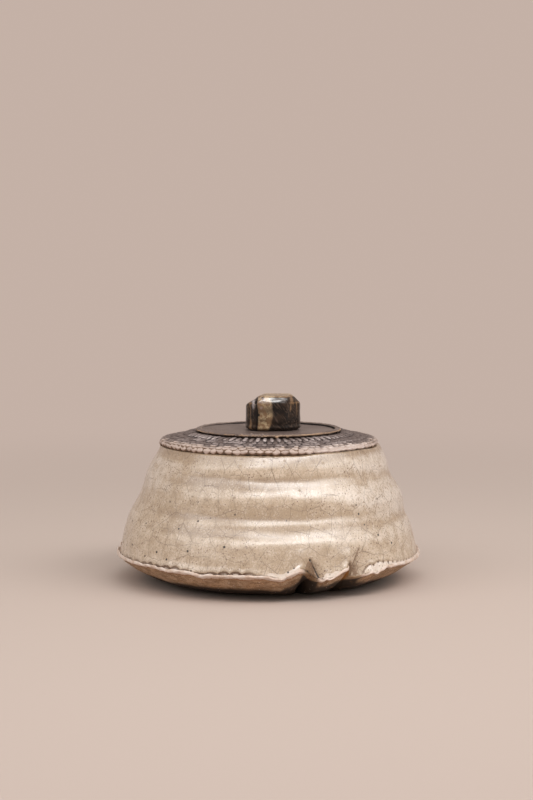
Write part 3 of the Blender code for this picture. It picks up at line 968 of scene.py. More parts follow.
class RakuKnobSettings(bpy.types.PropertyGroup):
    night: colour_of("Black", "Thick glaze", (0.007, 0.0045, 0.0035))
    brown: colour_of("Brown", "Thinner glaze", (0.045, 0.024, 0.013))
    smear: colour_of("Smear", "Fine streaks in the black", (0.075, 0.048, 0.034))
    tan: colour_of("Tan", "Glaze broken over the edges", (0.20, 0.115, 0.060))
    cream: colour_of("Cream", "Pale run of glaze", (0.44, 0.315, 0.185))
    # Painted highlight: a whitish glint on the left facet, the bevel and the band
    bloom: colour_of("Bloom", "Whitish haze on the left edge", (0.42, 0.37, 0.37))
    edge: length_of("Edge", "Softness of the cut edges", 0.0016)


class RakuStageSettings(bpy.types.PropertyGroup):
    floor: colour_of("Floor", "Paper that the box stands on", (0.565, 0.458, 0.400))
    backdrop: colour_of("Backdrop", "Paper behind the box", (0.555, 0.441, 0.384))
    key_power: amount_of("Key", "Power of the key's softboxes per square metre", 5.4)
    side_power: amount_of("Side", "Power of the right softbox", 9.0, "POWER")
    fill_power: amount_of("Fill", "Power of the left softbox", 6.0, "POWER")
    ambient: amount_of("Ambient", "Light from the room", 0.46)


# The pieces


class RAKU_OT_foot(bpy.types.Operator):
    """Folds the clay foot with its slipped lip"""

    bl_idname = "raku.foot"
    bl_label = "Clay Foot"

    def execute(self, context):
        look = context.scene.raku_foot
        inner_radius = WALL_FOOT_RADIUS - WALL_THICKNESS - JOINT_GAP
        spread = LIP_RADIUS - 0.0009 - FOOT_RADIUS
        shares = np.linspace(0.0, 1.0, 11)
        rings = [
            (PIN_RADIUS, 0.0),
            (FOOT_RADIUS / 2.0, 0.0),
            *zip(FOOT_RADIUS + spread * shares, FOOT_RISE * shares**FOOT_CURVE),
            (LIP_RADIUS - 0.0002, FOOT_RISE + 0.0002),
            (LIP_RADIUS, FOOT_RISE + 0.0007),
            (LIP_RADIUS - 0.0002, FOOT_RISE + 0.0012),
            (LIP_RADIUS - 0.0007, FOOT_RISE + 0.0015),
            (WALL_FOOT_RADIUS + 0.0001, FOOT_RISE + 0.0018),
            (WALL_FOOT_RADIUS - 0.0008, FOOT_TOP),
            (inner_radius, FOOT_TOP),
            (FOOT_RADIUS + (inner_radius - FOOT_RADIUS) * 0.6, FOOT_THICKNESS + 0.0030),
            (FOOT_RADIUS, FOOT_THICKNESS),
            (PIN_RADIUS, FOOT_THICKNESS),
        ]
        piece = ring_stack("clay_foot", rings, steps=180)
        points = crowded(points_of(piece))
        angle, start_radius, start_height = round_box(points)
        outer_share = smooth_step(start_radius, FOOT_RADIUS, FOOT_RADIUS + 0.012)
        under = FOOT_RISE * held((start_radius - FOOT_RADIUS) / (LIP_RADIUS - FOOT_RADIUS)) ** FOOT_CURVE
        on_top = (start_radius < WALL_FOOT_RADIUS - 0.0010) & (start_height > FOOT_RISE * 0.99)
        in_dish = (start_radius < inner_radius + 0.0001) & (start_height > FOOT_THICKNESS - 0.0001)
        inside = (on_top | (in_dish & (start_height > under + 0.0008))).astype(float)
        outside = 1.0 - inside

        # Wander of the clay and of its lip, and the lip's curl at both sides
        lip_share = smooth_step(start_height, FOOT_RISE - 0.0010, FOOT_RISE + 0.0006) * outside
        lip_wander = look.unevenness * (lumps(points, 0.0032, 1) * 0.9 + lumps(points, 0.0085, 2))
        body_wander = lumps(points, 0.012, 3) * 0.0006 + lumps(points, 0.004, 4) * 0.00022
        sag = lumps(points, 0.0065, 5) * 0.0006 + lumps(points, 0.0024, 6) * 0.00045
        sag *= smooth_step(start_height, FOOT_RISE - 0.0030, FOOT_RISE)
        sag *= smooth_step(WALL_FOOT - start_height, 0.0, 0.0016)
        curl = bulge(angle, -92.0, 17.0) + 0.8 * bulge(angle, 92.0, 22.0)
        curl *= (0.85 + 0.3 * lumps(points, 0.0030, 7)) * lip_share * outer_share
        upper = smooth_step(start_height, FOOT_RISE + 0.0004, FOOT_RISE + 0.0015)
        upper *= smooth_step(start_radius, WALL_FOOT_RADIUS + 0.0002, WALL_FOOT_RADIUS + 0.0008)
        radius, height = pinched(angle, start_radius, start_height)
        radius += outside * outer_share * (lip_wander * lip_share + body_wander * (1.0 - lip_share))
        radius += 0.0009 * curl
        height = np.maximum(height + outside * outer_share * sag, 0.0)
        height += (0.0022 + 0.0010 * lumps(points, 0.0020, 8)) * curl * upper
        moved_to(piece, at(angle, radius, height))

        spill = 0.0013 * bulge(angle, -8.0, 34.0)
        lobes = window(angle, 2.0, 14.0, 40.0, 50.0)
        # Painted shade: the smoke note darkens the foot towards the table, higher up under the lobes, and in
        # the cavities under the pleats
        shaded = 1.0 - smooth_step(start_height, 0.0030 + 0.0022 * lobes, 0.0090 + 0.0032 * lobes)
        tucked = sum(push_in(angle, pleat, 0.0) for pleat in range(len(PLEAT_CREASES)))
        noted(
            piece,
            lip=smooth_step(start_height, FOOT_RISE - 0.0010 - spill, FOOT_RISE + 0.0006) * outside,
            inside=inside,
            fold=in_fold(angle),
            pool=outside * bulge(angle, POOL_PLACE[0], 1.9) * hump(start_height, POOL_PLACE[1], 0.0040),
            smoke=1.05 * shaded + 1.4 * smooth_step(tucked, 0.08, 0.50),
        )
        dressed(piece, "box", "foot_dish", bare_clay(look))
        return {"FINISHED"}


class RAKU_OT_wall(bpy.types.Operator):
    """Throws the ringed wall and rolls its glaze over the lip"""

    bl_idname = "raku.wall"
    bl_label = "Thrown Wall"

    def execute(self, context):
        look = context.scene.raku_wall
        downs = np.append(np.linspace(0.0, 0.90, 18), (0.925, 0.95, 0.975, 1.0))
        front_radii = wall_radius(downs, 0.0)
        outer = list(zip(front_radii, WALL_TOP - WALL_HEIGHT * downs))
        inner = [(radius - WALL_THICKNESS, height) for radius, height in outer[::-4]]
        inner[-1] = (outer[0][0] - WALL_THICKNESS, WALL_TOP)
        piece = ring_stack("ringed_wall", [*outer, *inner, outer[0]], steps=180)
        points = crowded(points_of(piece))
        angle, radius, height = round_box(points)
        above = height - WALL_FOOT

        # Throwing rings, drifting up and down round the wall, and how hollow they are
        down = held((WALL_TOP - height) / WALL_HEIGHT)
        depth_in = np.interp(down, downs, front_radii) - radius
        outside = 1.0 - smooth_step(depth_in, 0.0002, 0.0030)
        drifted = held(down + 0.010 * lumps(points, 0.060, 11))
        blend = smooth_step(down, 0.0, 0.08) * smooth_step(1.0 - down, 0.0, 0.08)
        true_radius = wall_radius(down + (drifted - down) * blend, angle)
        hollow = np.clip((wall_about(down, 0.05, angle) - true_radius) / 0.0009, -1.5, 1.5)
        tight = smooth_step((wall_about(down, 0.022, angle) - true_radius) / 0.00026, 0.35, 1.2) * blend

        # The glaze's lower edge: broad arcs at the front and left, dots at the right and the left end
        shifted = angle * WALL_FOOT_RADIUS + 0.0014 * lumps(points, 0.012, 12)
        turn = shifted / ARC_PITCH + 0.45 * lumps(points, 0.016, 19)
        arcs = np.abs(np.sin(turn * math.pi)) ** 0.6
        dots = np.abs(np.sin(shifted / DOT_PITCH * math.pi)) ** 0.7
        right = smooth_step(angle, math.radians(36.0), math.radians(44.0))
        right *= smooth_step(-angle, -math.pi, -2.6)
        rise = (1.0 - right) * arcs * (0.0008 + 0.0005 * lumps(points, 0.009, 13)) + right * dots * 0.0004
        tongue = np.interp(np.degrees(angle), *TONGUE.T) * (1.0 + 0.45 * lumps(points, 0.0040, 61))
        edge_height = -0.0003 + 0.0007 * right + tongue + rise + 0.0003 * lumps(points, 0.010, 14)
        off_edge = above - edge_height
        near_pleats = window(angle, -9.0, 3.0, 36.4, 39.0)
        ended = (1.0 - near_pleats) * (0.85 + 0.25 * lumps(points, 0.014, 18))
        corner = window(angle, -110.0, -98.0, -74.0, -66.0)
        dotted = np.maximum(right, corner)
        cusp = (1.0 - ((1.0 - dotted) * arcs + dotted * dots)) ** 2
        roll = ended * hump(off_edge, 0.0010, 0.0008) * 0.00020
        groove = ended * hump(off_edge, -0.0001, 0.00045) * (0.00020 + 0.00060 * cusp)

        # The wall spreads at its foot, is pinched and torn with the foot, and climbs at its top
        splay = held(1.0 - above / SPLAY_HEIGHT) ** 2
        height = height - outside * 0.0014 * splay
        wander = lumps(points, 0.020, 15) + 0.5 * lumps(points, 0.008, 16)
        fine = lumps(np.stack((points[:, 0] * 0.1, points[:, 1] * 0.1, height), axis=1), 0.0016, 17)
        radius, height = pinched(angle, true_radius - depth_in, height)
        gusset, crack, hole = torn(angle, above)
        valley = crease(angle, above)
        ragged = 0.5 + 0.5 * lumps(np.stack((angle * 0.08, angle * 0.0, height * 0.3), axis=1), 0.0008, 20)
        relief = look.unevenness * wander * blend + 0.00005 * fine + roll - groove + 0.0010 * splay
        relief += 0.0005 * gusset * ragged - 0.0013 * crack - 0.0020 * hole - 0.0012 * valley
        radius += outside * relief
        height += outside * raised(angle) * smooth_step(above, WALL_HEIGHT - 0.0040, WALL_HEIGHT)
        moved_to(piece, at(angle, radius, height))

        # Where the glaze is thick, thin, burnt, pale or folded, and where shade and light are painted on it
        # Painted shade, added to the hollow note: darker tan at the front of the lower wall, at the top front
        # with a lighter band below it, and on the lobes' crests beside the pleats
        centre = smooth_step(0.75 - np.abs(angle - 0.05), 0.0, 0.6) * smooth_step(0.050 - above, 0.0, 0.012)
        shaded_crests = bulge(angle, 10.2, 1.8) + bulge(angle, 28.4, 2.0)
        brow = hump(above, WALL_HEIGHT - 0.0035, 0.0036) * hump(angle, 0.0, 0.7)
        brow -= 0.45 * hump(above, WALL_HEIGHT - 0.0094, 0.0034) * hump(angle, 0.0, 0.6)
        second_fold = window(angle, 30.2, 31.0, 35.4, 37.2)
        folded = gusset * (0.70 + 0.6 * ragged) + 0.9 * valley
        folded += second_fold * held(1.5 * held(1.0 - above / 0.0045)) * (0.25 + 0.9 * ragged)
        lobe_end = smooth_step(angle, math.radians(11.6), math.radians(10.6))
        lobe_end += smooth_step(angle, math.radians(17.0), math.radians(18.0))
        brims = np.interp(np.degrees(angle), *BRIMS.T) + 0.0004 * lumps(points, 0.005, 22)
        pale = held((brims - above) / 0.0008 + 0.5) * near_pleats * lobe_end
        pale += (1.0 - near_pleats) * smooth_step(-off_edge, -0.0001, 0.0003)
        pale *= 1.0 - 0.42 * bulge(angle, 42.0, 9.0)
        pale *= 1.0 - 0.30 * smooth_step(-angle, 0.6, 1.0)
        pale *= (1.0 - second_fold) * (1.0 - gusset) * (1.0 - 0.7 * valley)
        # Painted light: the upper right and left sides are made paler, and the front a little less pale, as
        # if lit more
        painted_light_right = 0.75 * smooth_step(np.sin(angle), 0.40, 0.90) * smooth_step(above, 0.004, 0.026)
        painted_light_left = 0.55 * smooth_step(-np.sin(angle), 0.45, 0.90) * smooth_step(above, 0.022, 0.042)
        # Amber streaks under the shoulder's edge: partly glaze run, partly painted shadow under its overhang
        under_shoulder = smooth_step(above, WALL_HEIGHT - 0.0050, WALL_HEIGHT - 0.0003)
        noted(
            piece,
            # The hollow note carries the real hollows of the rings and the painted shade above
            hollow=hollow + 0.28 * centre + brow + 1.3 * shaded_crests * hump(above, 0.0030, 0.0036),
            tight=outside * tight,
            off_edge=np.clip(off_edge / (0.001 + 0.0008 * corner), -3.0, 3.0),
            burnt=ended * outside * ((1.0 - dotted) * (1.0 + 0.5 * cusp) + dotted * 1.9 * cusp),
            slip=outside * pale,
            fold=outside * held(folded),
            low=smooth_step(above, 0.042, 0.024),
            flank=painted_light_right + painted_light_left - 0.35 * smooth_step(0.7 - np.abs(angle), 0.0, 0.5),
            # Painted shade: the crack and the hole in the first pleat are painted iron-dark
            crack=outside * held(crack + 1.2 * hole),
            streak=outside * under_shoulder * (0.45 + 0.55 * smooth_step(angle, -0.7, 0.3)),
            back=smooth_step(np.abs(angle), math.radians(150.0), math.radians(166.0)),
        )
        drawn = WALL_HEIGHT - above
        along = drawn * (0.5 + 0.30 * drawn / WALL_HEIGHT)
        turned = np.mod(angle, math.tau) - math.pi
        placed(piece, "unrolled", angle * UNROLLED_RADIUS, along)
        placed(piece, "unrolled_back", turned * UNROLLED_RADIUS + 1.0, along)
        dressed(piece, "box", "thrown_wall", crackle_glaze(look))
        return {"FINISHED"}


def stamped(angle, radius):
    """Room left to the nearest groove, chance and share of the way to the tip, of the scales."""
    nothing = np.zeros(len(angle))
    room, chance, tip = nothing - 1.0, nothing, nothing
    for row, (reach, length, count, loose, wide, narrowing, roundness, pointed) in enumerate(SCALE_ROWS):
        turn = angle / math.tau * count + 0.5 * row
        for step in (-1.0, 0.0, 1.0):
            index = np.floor(turn) + step
            key = np.stack((np.mod(index, count), nothing + row, nothing), axis=1).astype(np.int64)
            centre = index + 0.5 + 0.55 * loose * (hashed(key, 21) - 0.5)
            end = reach + 0.0010 * loose * (hashed(key, 22) - 0.5)
            half = wide + 0.16 * loose * (hashed(key, 24) - 0.3)
            skew = 0.5 * loose * (hashed(key, 27) - 0.5)
            along = (end - radius) / length
            taper = 1.0 - narrowing * held(along)
            across = np.abs(turn - centre + skew * (along - 0.5)) / (half * taper)
            rounded = np.sqrt(held(1.0 - held(across) ** roundness))
            inner = along - pointed * (1.0 - rounded)
            left = np.minimum((1.0 - across) * half * math.tau * reach / count, 0.45 * inner * length)
            covers = (room < 0.0) & (left > 0.0) & (along < 1.25)
            chance = np.where(covers, hashed(key, 23), chance)
            tip = np.where(covers, 1.0 - along, tip)
            room = np.where(covers, left, room)
    return room, chance, held(tip)


class RAKU_OT_shoulder(bpy.types.Operator):
    """Stamps the shoulder's rings of cells"""

    bl_idname = "raku.shoulder"
    bl_label = "Stamped Shoulder"

    def execute(self, context):
        look = context.scene.raku_shoulder
        radii = np.linspace(SEAT_RADIUS, SHOULDER_RADIUS, 18)
        rings = [
            (MOUTH_RADIUS, SEAT - SHOULDER_THICKNESS),
            (MOUTH_RADIUS, SEAT),
            (SEAT_RADIUS, SEAT),
            *zip(radii, slope_height(radii)),
            (SHOULDER_RADIUS, SHOULDER_UNDER + 0.0004),
            (SHOULDER_RADIUS - 0.0006, SHOULDER_UNDER - 0.0002),
            (WALL_TOP_RADIUS - WALL_THICKNESS, SHOULDER_UNDER),
            (MOUTH_RADIUS, SEAT - SHOULDER_THICKNESS),
        ]
        piece = ring_stack("stamped_shoulder", rings, steps=256)
        points = points_of(piece)
        angle, radius, start_height = round_box(points)
        top_share = smooth_step(slope_height(radius) - start_height, 0.0022, 0.0004)
        top_share *= smooth_step(radius, SEAT_RADIUS, SEAT_RADIUS + 0.0012)
        over = np.clip(SHOULDER_CORNER - start_height, 0.0, 0.0030)
        over *= smooth_step(radius, SHOULDER_RADIUS - 0.0015, SHOULDER_RADIUS - 0.0005)
        room, chance, tip = stamped(angle, radius + over + 0.0004 * lumps(points, 0.0030, 28))

        # Relief of the cells, deepest at the petals, calmer at the sides and worn at the right front
        petals = smooth_step(radius, PETAL_REACH + 0.0008, PETAL_REACH - 0.0004)
        ground = smooth_step(-room, 0.5, 0.9) * smooth_step(PETAL_REACH + 0.0016 - radius, 0.0, 0.0005)
        groove = 1.0 - smooth_step(room, 0.00008, 0.00052) - 0.50 * ground
        calm = 0.35 * smooth_step(np.abs(angle), math.radians(45.0), math.radians(95.0))
        strength = 1.0 + 0.3 * petals - 0.5 * calm
        outward = smooth_step(radius + 0.0020 * (chance - 0.5), SHOULDER_RADIUS - 0.0085, SHOULDER_RADIUS)
        thin = raised(angle) / RAISED_HEIGHT
        unworn = 1.0 - 0.7 * thin * outward
        pillow = -groove * look.relief + (chance - 0.5) * 0.00030 + tip * look.relief
        pillow *= smooth_step(radius, SEAT_RADIUS + 0.0004, SEAT_RADIUS + 0.0030) * strength * unworn
        height = start_height + top_share * (pillow + 0.00012 * lumps(points, 0.0015, 24))

        # The edge flakes and droops, and climbs with the wall
        low = SHOULDER_CORNER - height
        edge_share = smooth_step(radius, SHOULDER_RADIUS - 0.0026, SHOULDER_RADIUS - 0.0002)
        side_share = smooth_step(low, 0.0, 0.0004) * edge_share
        under_share = smooth_step(low, 0.0, 0.0012)
        under_share *= smooth_step(radius, WALL_TOP_RADIUS - 0.0050, WALL_TOP_RADIUS - 0.0020)
        flake = ((0.5 - groove) * 0.0006 + (chance - 0.5) * 0.0005) * (1.0 - 0.85 * thin)
        flake -= np.interp(np.sin(angle), (-1.0, 0.0, 1.0), (0.0013, 0.0001, 0.0012))
        droop = (0.0003 * (0.5 - groove) + 0.0004 * (chance - 0.5)) * (1.0 - thin)
        swell = smooth_step(radius, SEAT_RADIUS + 0.0006, SEAT_RADIUS + 0.0022)
        swell *= smooth_step(PETAL_REACH - radius, -0.0001, 0.0044)
        height += 0.0007 * top_share * swell + under_share * raised(angle)
        height += edge_share * (0.00025 * lumps(points, 0.0034, 25) - 0.0001 - droop)
        moved_to(piece, at(angle, radius + edge_share * flake, height))

        # Dark grooves, painted shade under the lid's rim and under the edge, worn edge, and painted
        # highlights on the cells' tips and edges
        below = smooth_step(SHOULDER_CORNER - 0.0013 - start_height, 0.0, 0.0005)
        dark = groove * np.minimum(strength, 1.0) * np.maximum(top_share, side_share) * unworn
        dark *= 0.85 - 0.10 * outward + 0.10 * petals
        # Painted shade next to the seat under the lid's rim, and on the underside of the edge
        dark += 0.6 * top_share * smooth_step(radius, SEAT_RADIUS + 0.0028, SEAT_RADIUS + 0.0014)
        dark += 0.6 * below * (1.0 - 0.6 * thin)
        # Worn pink clay along the edge; it and the tone grow paler towards each cell's tip as painted light
        worn = outward * (0.70 + 0.60 * tip + 0.45 * (chance - 0.5)) * (1.0 - 0.9 * calm)
        # Painted highlights on the cells' tips and edges
        brink = hump(room, 0.00072, 0.00030) * smooth_step(tip, 0.45, 0.80)
        shine = 0.22 * smooth_step(tip, 0.30, 0.90) * (0.4 + 1.2 * chance) + (0.50 + 0.35 * outward) * brink
        petal_shine = 0.42 * smooth_step(tip, 0.15, 0.50)
        petal_shine += 0.30 * smooth_step(tip, 0.60, 0.90) * (0.4 + chance)
        lit = (1.0 - groove) * (shine * (1.0 - petals) + petals * petal_shine) * (1.0 - 1.6 * calm)
        noted(
            piece,
            groove=held(dark),
            worn=worn - 0.5 * calm * (1.0 - outward),
            # Painted highlights, plus the pale edge at the right front, which is the clay's own
            lit=(lit + 0.45 * thin * outward) * (1.0 - below),
            tone=0.25 + 0.35 * tip + 0.80 * (chance - 0.5) + 0.10 * petals - 2.4 * calm,
        )
        dressed(piece, "box", "shoulder_slab", smoked_clay(look))
        return {"FINISHED"}


class RAKU_OT_lid(bpy.types.Operator):
    """Makes the lid's disc, its raised rim and the collar under it"""

    bl_idname = "raku.lid"
    bl_label = "Lid"

    def execute(self, context):
        look = context.scene.raku_lid
        finish = smoked_clay(look)
        self.disc(finish)
        self.rim(look, finish)
        self.collar(finish)
        return {"FINISHED"}

    def disc(self, finish):
        rings = [
            (PIN_RADIUS, PLATE_TOP),
            *[(radius, PLATE_TOP) for radius in np.linspace(0.004, PLATE_RADIUS - 0.0004, 12)],
            (PLATE_RADIUS, PLATE_TOP - 0.0004),
            (PLATE_RADIUS, PLATE_UNDER + 0.0004),
            (PLATE_RADIUS - 0.0004, PLATE_UNDER),
            (MOUTH_RADIUS / 2.0, PLATE_UNDER),
            (PIN_RADIUS, PLATE_UNDER),
        ]
        piece = ring_stack("lid_disc", rings, steps=120)
        points = points_of(piece)
        angle, radius, height = round_box(points)
        top_share = smooth_step(height, PLATE_TOP - 0.0008, PLATE_TOP)
        flush = bulge(angle, -80.0, 55.0) * smooth_step(radius, 0.024, 0.035)
        wave = np.sin(radius / STROKE_PITCH * math.tau + 0.8 * lumps(points, 0.0030, 48))
        swirl = bulge(angle, -75.0, 36.0) * hump(radius, 0.0295, 0.0045)
        swirl *= held(0.55 + 0.75 * lumps(points, 0.0034, 49))
        relief = 0.00016 * lumps(points, 0.006, 31) + 0.0008 * flush + 0.00030 * swirl * wave
        moved_to(piece, at(angle, radius, height + top_share * relief))

        # Painted shade next to the rim's inner wall, except where the disc lies flush at the left; the
        # swirl's grooves dark and its ridges worn; painted highlights on the strokes
        dark = 0.75 * smooth_step(radius, 0.0343, 0.0356) * (1.0 - flush) + 0.7 * swirl * (0.5 - 0.5 * wave)
        strokes = held(np.sin(angle * radius / STROKE_PITCH * math.tau + 1.5 * lumps(points, 0.006, 35)))
        strokes *= window(angle, -45.0, -35.0, -4.0, 6.0) * hump(radius, 0.0340, 0.0016)
        noted(
            piece,
            groove=top_share * dark,
            worn=0.8 * swirl * held(wave),
            tone=0.35 + 0.25 * lumps(points, 0.02, 32),
            lit=0.35 * strokes * top_share,
        )
        dressed(piece, "lid", "lid_plate", finish)

    def rim(self, look, finish):
        inner = RIM_RADIUS - RIM_WIDTH
        past_plate = PLATE_RADIUS + JOINT_GAP
        rings = [
            (inner + 0.0003, RIM_TOP - 0.0001),
            (inner + 0.0009, RIM_TOP),
            (RIM_RADIUS - 0.0012, RIM_TOP),
            (RIM_RADIUS - 0.0004, RIM_TOP - 0.0003),
            (RIM_RADIUS, RIM_TOP - 0.0008),
            (RIM_RADIUS - 0.0004, RIM_TOP - 0.0013),
            (RIM_RADIUS - RIM_UNDERCUT, RIM_UNDER + 0.0001),
            (RIM_RADIUS - RIM_UNDERCUT - 0.0004, RIM_UNDER),
            (past_plate, RIM_UNDER),
            (past_plate, PLATE_TOP - 0.0002),
            (inner, PLATE_TOP - 0.0002),
            (inner, RIM_TOP - 0.0004),
            (inner + 0.0003, RIM_TOP - 0.0001),
        ]
        piece = ring_stack("lid_coil", rings, steps=180)
        points = points_of(piece)
        angle, start_radius, start_height = round_box(points)
        below = RIM_TOP - start_height
        out_share = smooth_step(start_radius, inner + 0.0012, RIM_RADIUS - 0.0004)
        under_share = smooth_step(below, 0.0004, 0.0014)
        under_share *= smooth_step(start_radius, inner + 0.0012, RIM_RADIUS - 0.0012)
        top_share = smooth_step(0.0012 - below, 0.0, 0.0004)
        top_share *= smooth_step(start_radius, inner + 0.0006, inner + 0.0014)
        wander = lumps(points, 0.011, 33) + 0.6 * lumps(points, 0.0035, 34)
        ragged = smooth_step(-angle, -0.1, 0.3) * lumps(points, 0.0016, 45)
        turn = (angle * RIM_RADIUS / TEETH_PITCHES[0] - start_radius / TEETH_PITCHES[1]) * math.tau
        teeth = np.sin(turn + 2.0 * lumps(points, 0.004, 35)) * (0.6 + 0.5 * lumps(points, 0.0030, 47))
        teeth *= window(angle, -42.0, -30.0, -3.0, 3.0)
        nicks = bulge(angle, -24.0, 34.0) * held(lumps(points, 0.0026, 40) - 0.1)
        balls = sum(
            share * hump((angle - math.radians(place)) * RIM_RADIUS, 0.0, width)
            for place, width, share in RIM_LUMPS
        )
        balls *= smooth_step(start_radius, RIM_RADIUS - 0.0022, RIM_RADIUS - 0.0002)
        radius = start_radius + 0.0006 * balls
        radius += out_share * (look.unevenness * (0.9 * wander + 0.7 * ragged) - 0.0009 * nicks)
        height = start_height - 0.0006 * balls + 0.00010 * lumps(points, 0.003, 36)
        height += under_share * (look.unevenness * (1.2 * wander + ragged) - 0.0002)
        height += top_share * (0.00030 * teeth + 0.00015 * lumps(points, 0.0016, 40))
        moved_to(piece, at(angle, radius, height))

        # Painted shade darkens the rim's undercut face, with a darker tone there, the step inside the rim and
        # the gaps between the teeth; painted highlights light the teeth and the rubbed corner
        corner = hump(below, 0.0006, 0.00040)
        corner *= smooth_step(start_radius, RIM_RADIUS - 0.0008, RIM_RADIUS - 0.0001)
        inner_corner = hump(start_radius, inner + 0.0004, 0.0005) * smooth_step(0.0006 - below, 0.0, 0.0005)
        face = smooth_step(below, 0.0009, 0.0013)
        face *= smooth_step(start_radius, RIM_RADIUS - 0.0024, RIM_RADIUS - 0.0014)
        brow = hump(start_radius, RIM_RADIUS - 0.0013, 0.0009) * smooth_step(0.0006 - below, 0.0, 0.0003)
        back = smooth_step(below, 0.0002, 0.0007) * smooth_step(-start_radius, -inner - 0.0003, -inner)
        rubbed = 0.50 + 0.40 * lumps(points, 0.007, 37) + 0.55 * ragged + 0.30 * smooth_step(angle, 0.2, 0.7)
        dark = 0.75 * face * (1.0 - balls) + 0.8 * back + 0.3 * nicks + 0.35 * held(-teeth) * top_share
        noted(
            piece,
            groove=held(dark),
            worn=held(corner * rubbed + inner_corner * 0.35 + 0.4 * balls + 0.8 * face),
            lit=held(1.4 * held(teeth) * brow + 0.45 * corner * (rubbed - 0.4)),
            tone=0.45 + 0.25 * lumps(points, 0.008, 37) - 0.4 * face,
        )
        dressed(piece, "lid", "lid_rim", finish)

    def collar(self, finish):
        inner = FLANGE_RADIUS - FLANGE_THICKNESS
        rings = [
            (inner, FLANGE_TOP),
            (FLANGE_RADIUS, FLANGE_TOP),
            (FLANGE_RADIUS, FLANGE_UNDER + 0.0008),
            (FLANGE_RADIUS - 0.0008, FLANGE_UNDER),
            (inner + 0.0008, FLANGE_UNDER),
            (inner, FLANGE_UNDER + 0.0008),
            (inner, FLANGE_TOP),
        ]
        piece = ring_stack("lid_collar", rings, steps=120)
        points = points_of(piece)
        angle, radius, height = round_box(points)
        low_share = smooth_step(FLANGE_TOP - height, 0.0006, 0.0030)
        radius += low_share * (0.00012 * lumps(points, 0.006, 38) - 0.0001)
        moved_to(piece, at(angle, radius, height))
        noted(
            piece,
            groove=0.0,
            worn=0.3 * smooth_step(FLANGE_UNDER + 0.0015 - height, 0.0, 0.0015),
            tone=0.4 + 0.3 * lumps(points, 0.008, 39),
            lit=0.0,
        )
        dressed(piece, "lid", "lid_flange", finish)


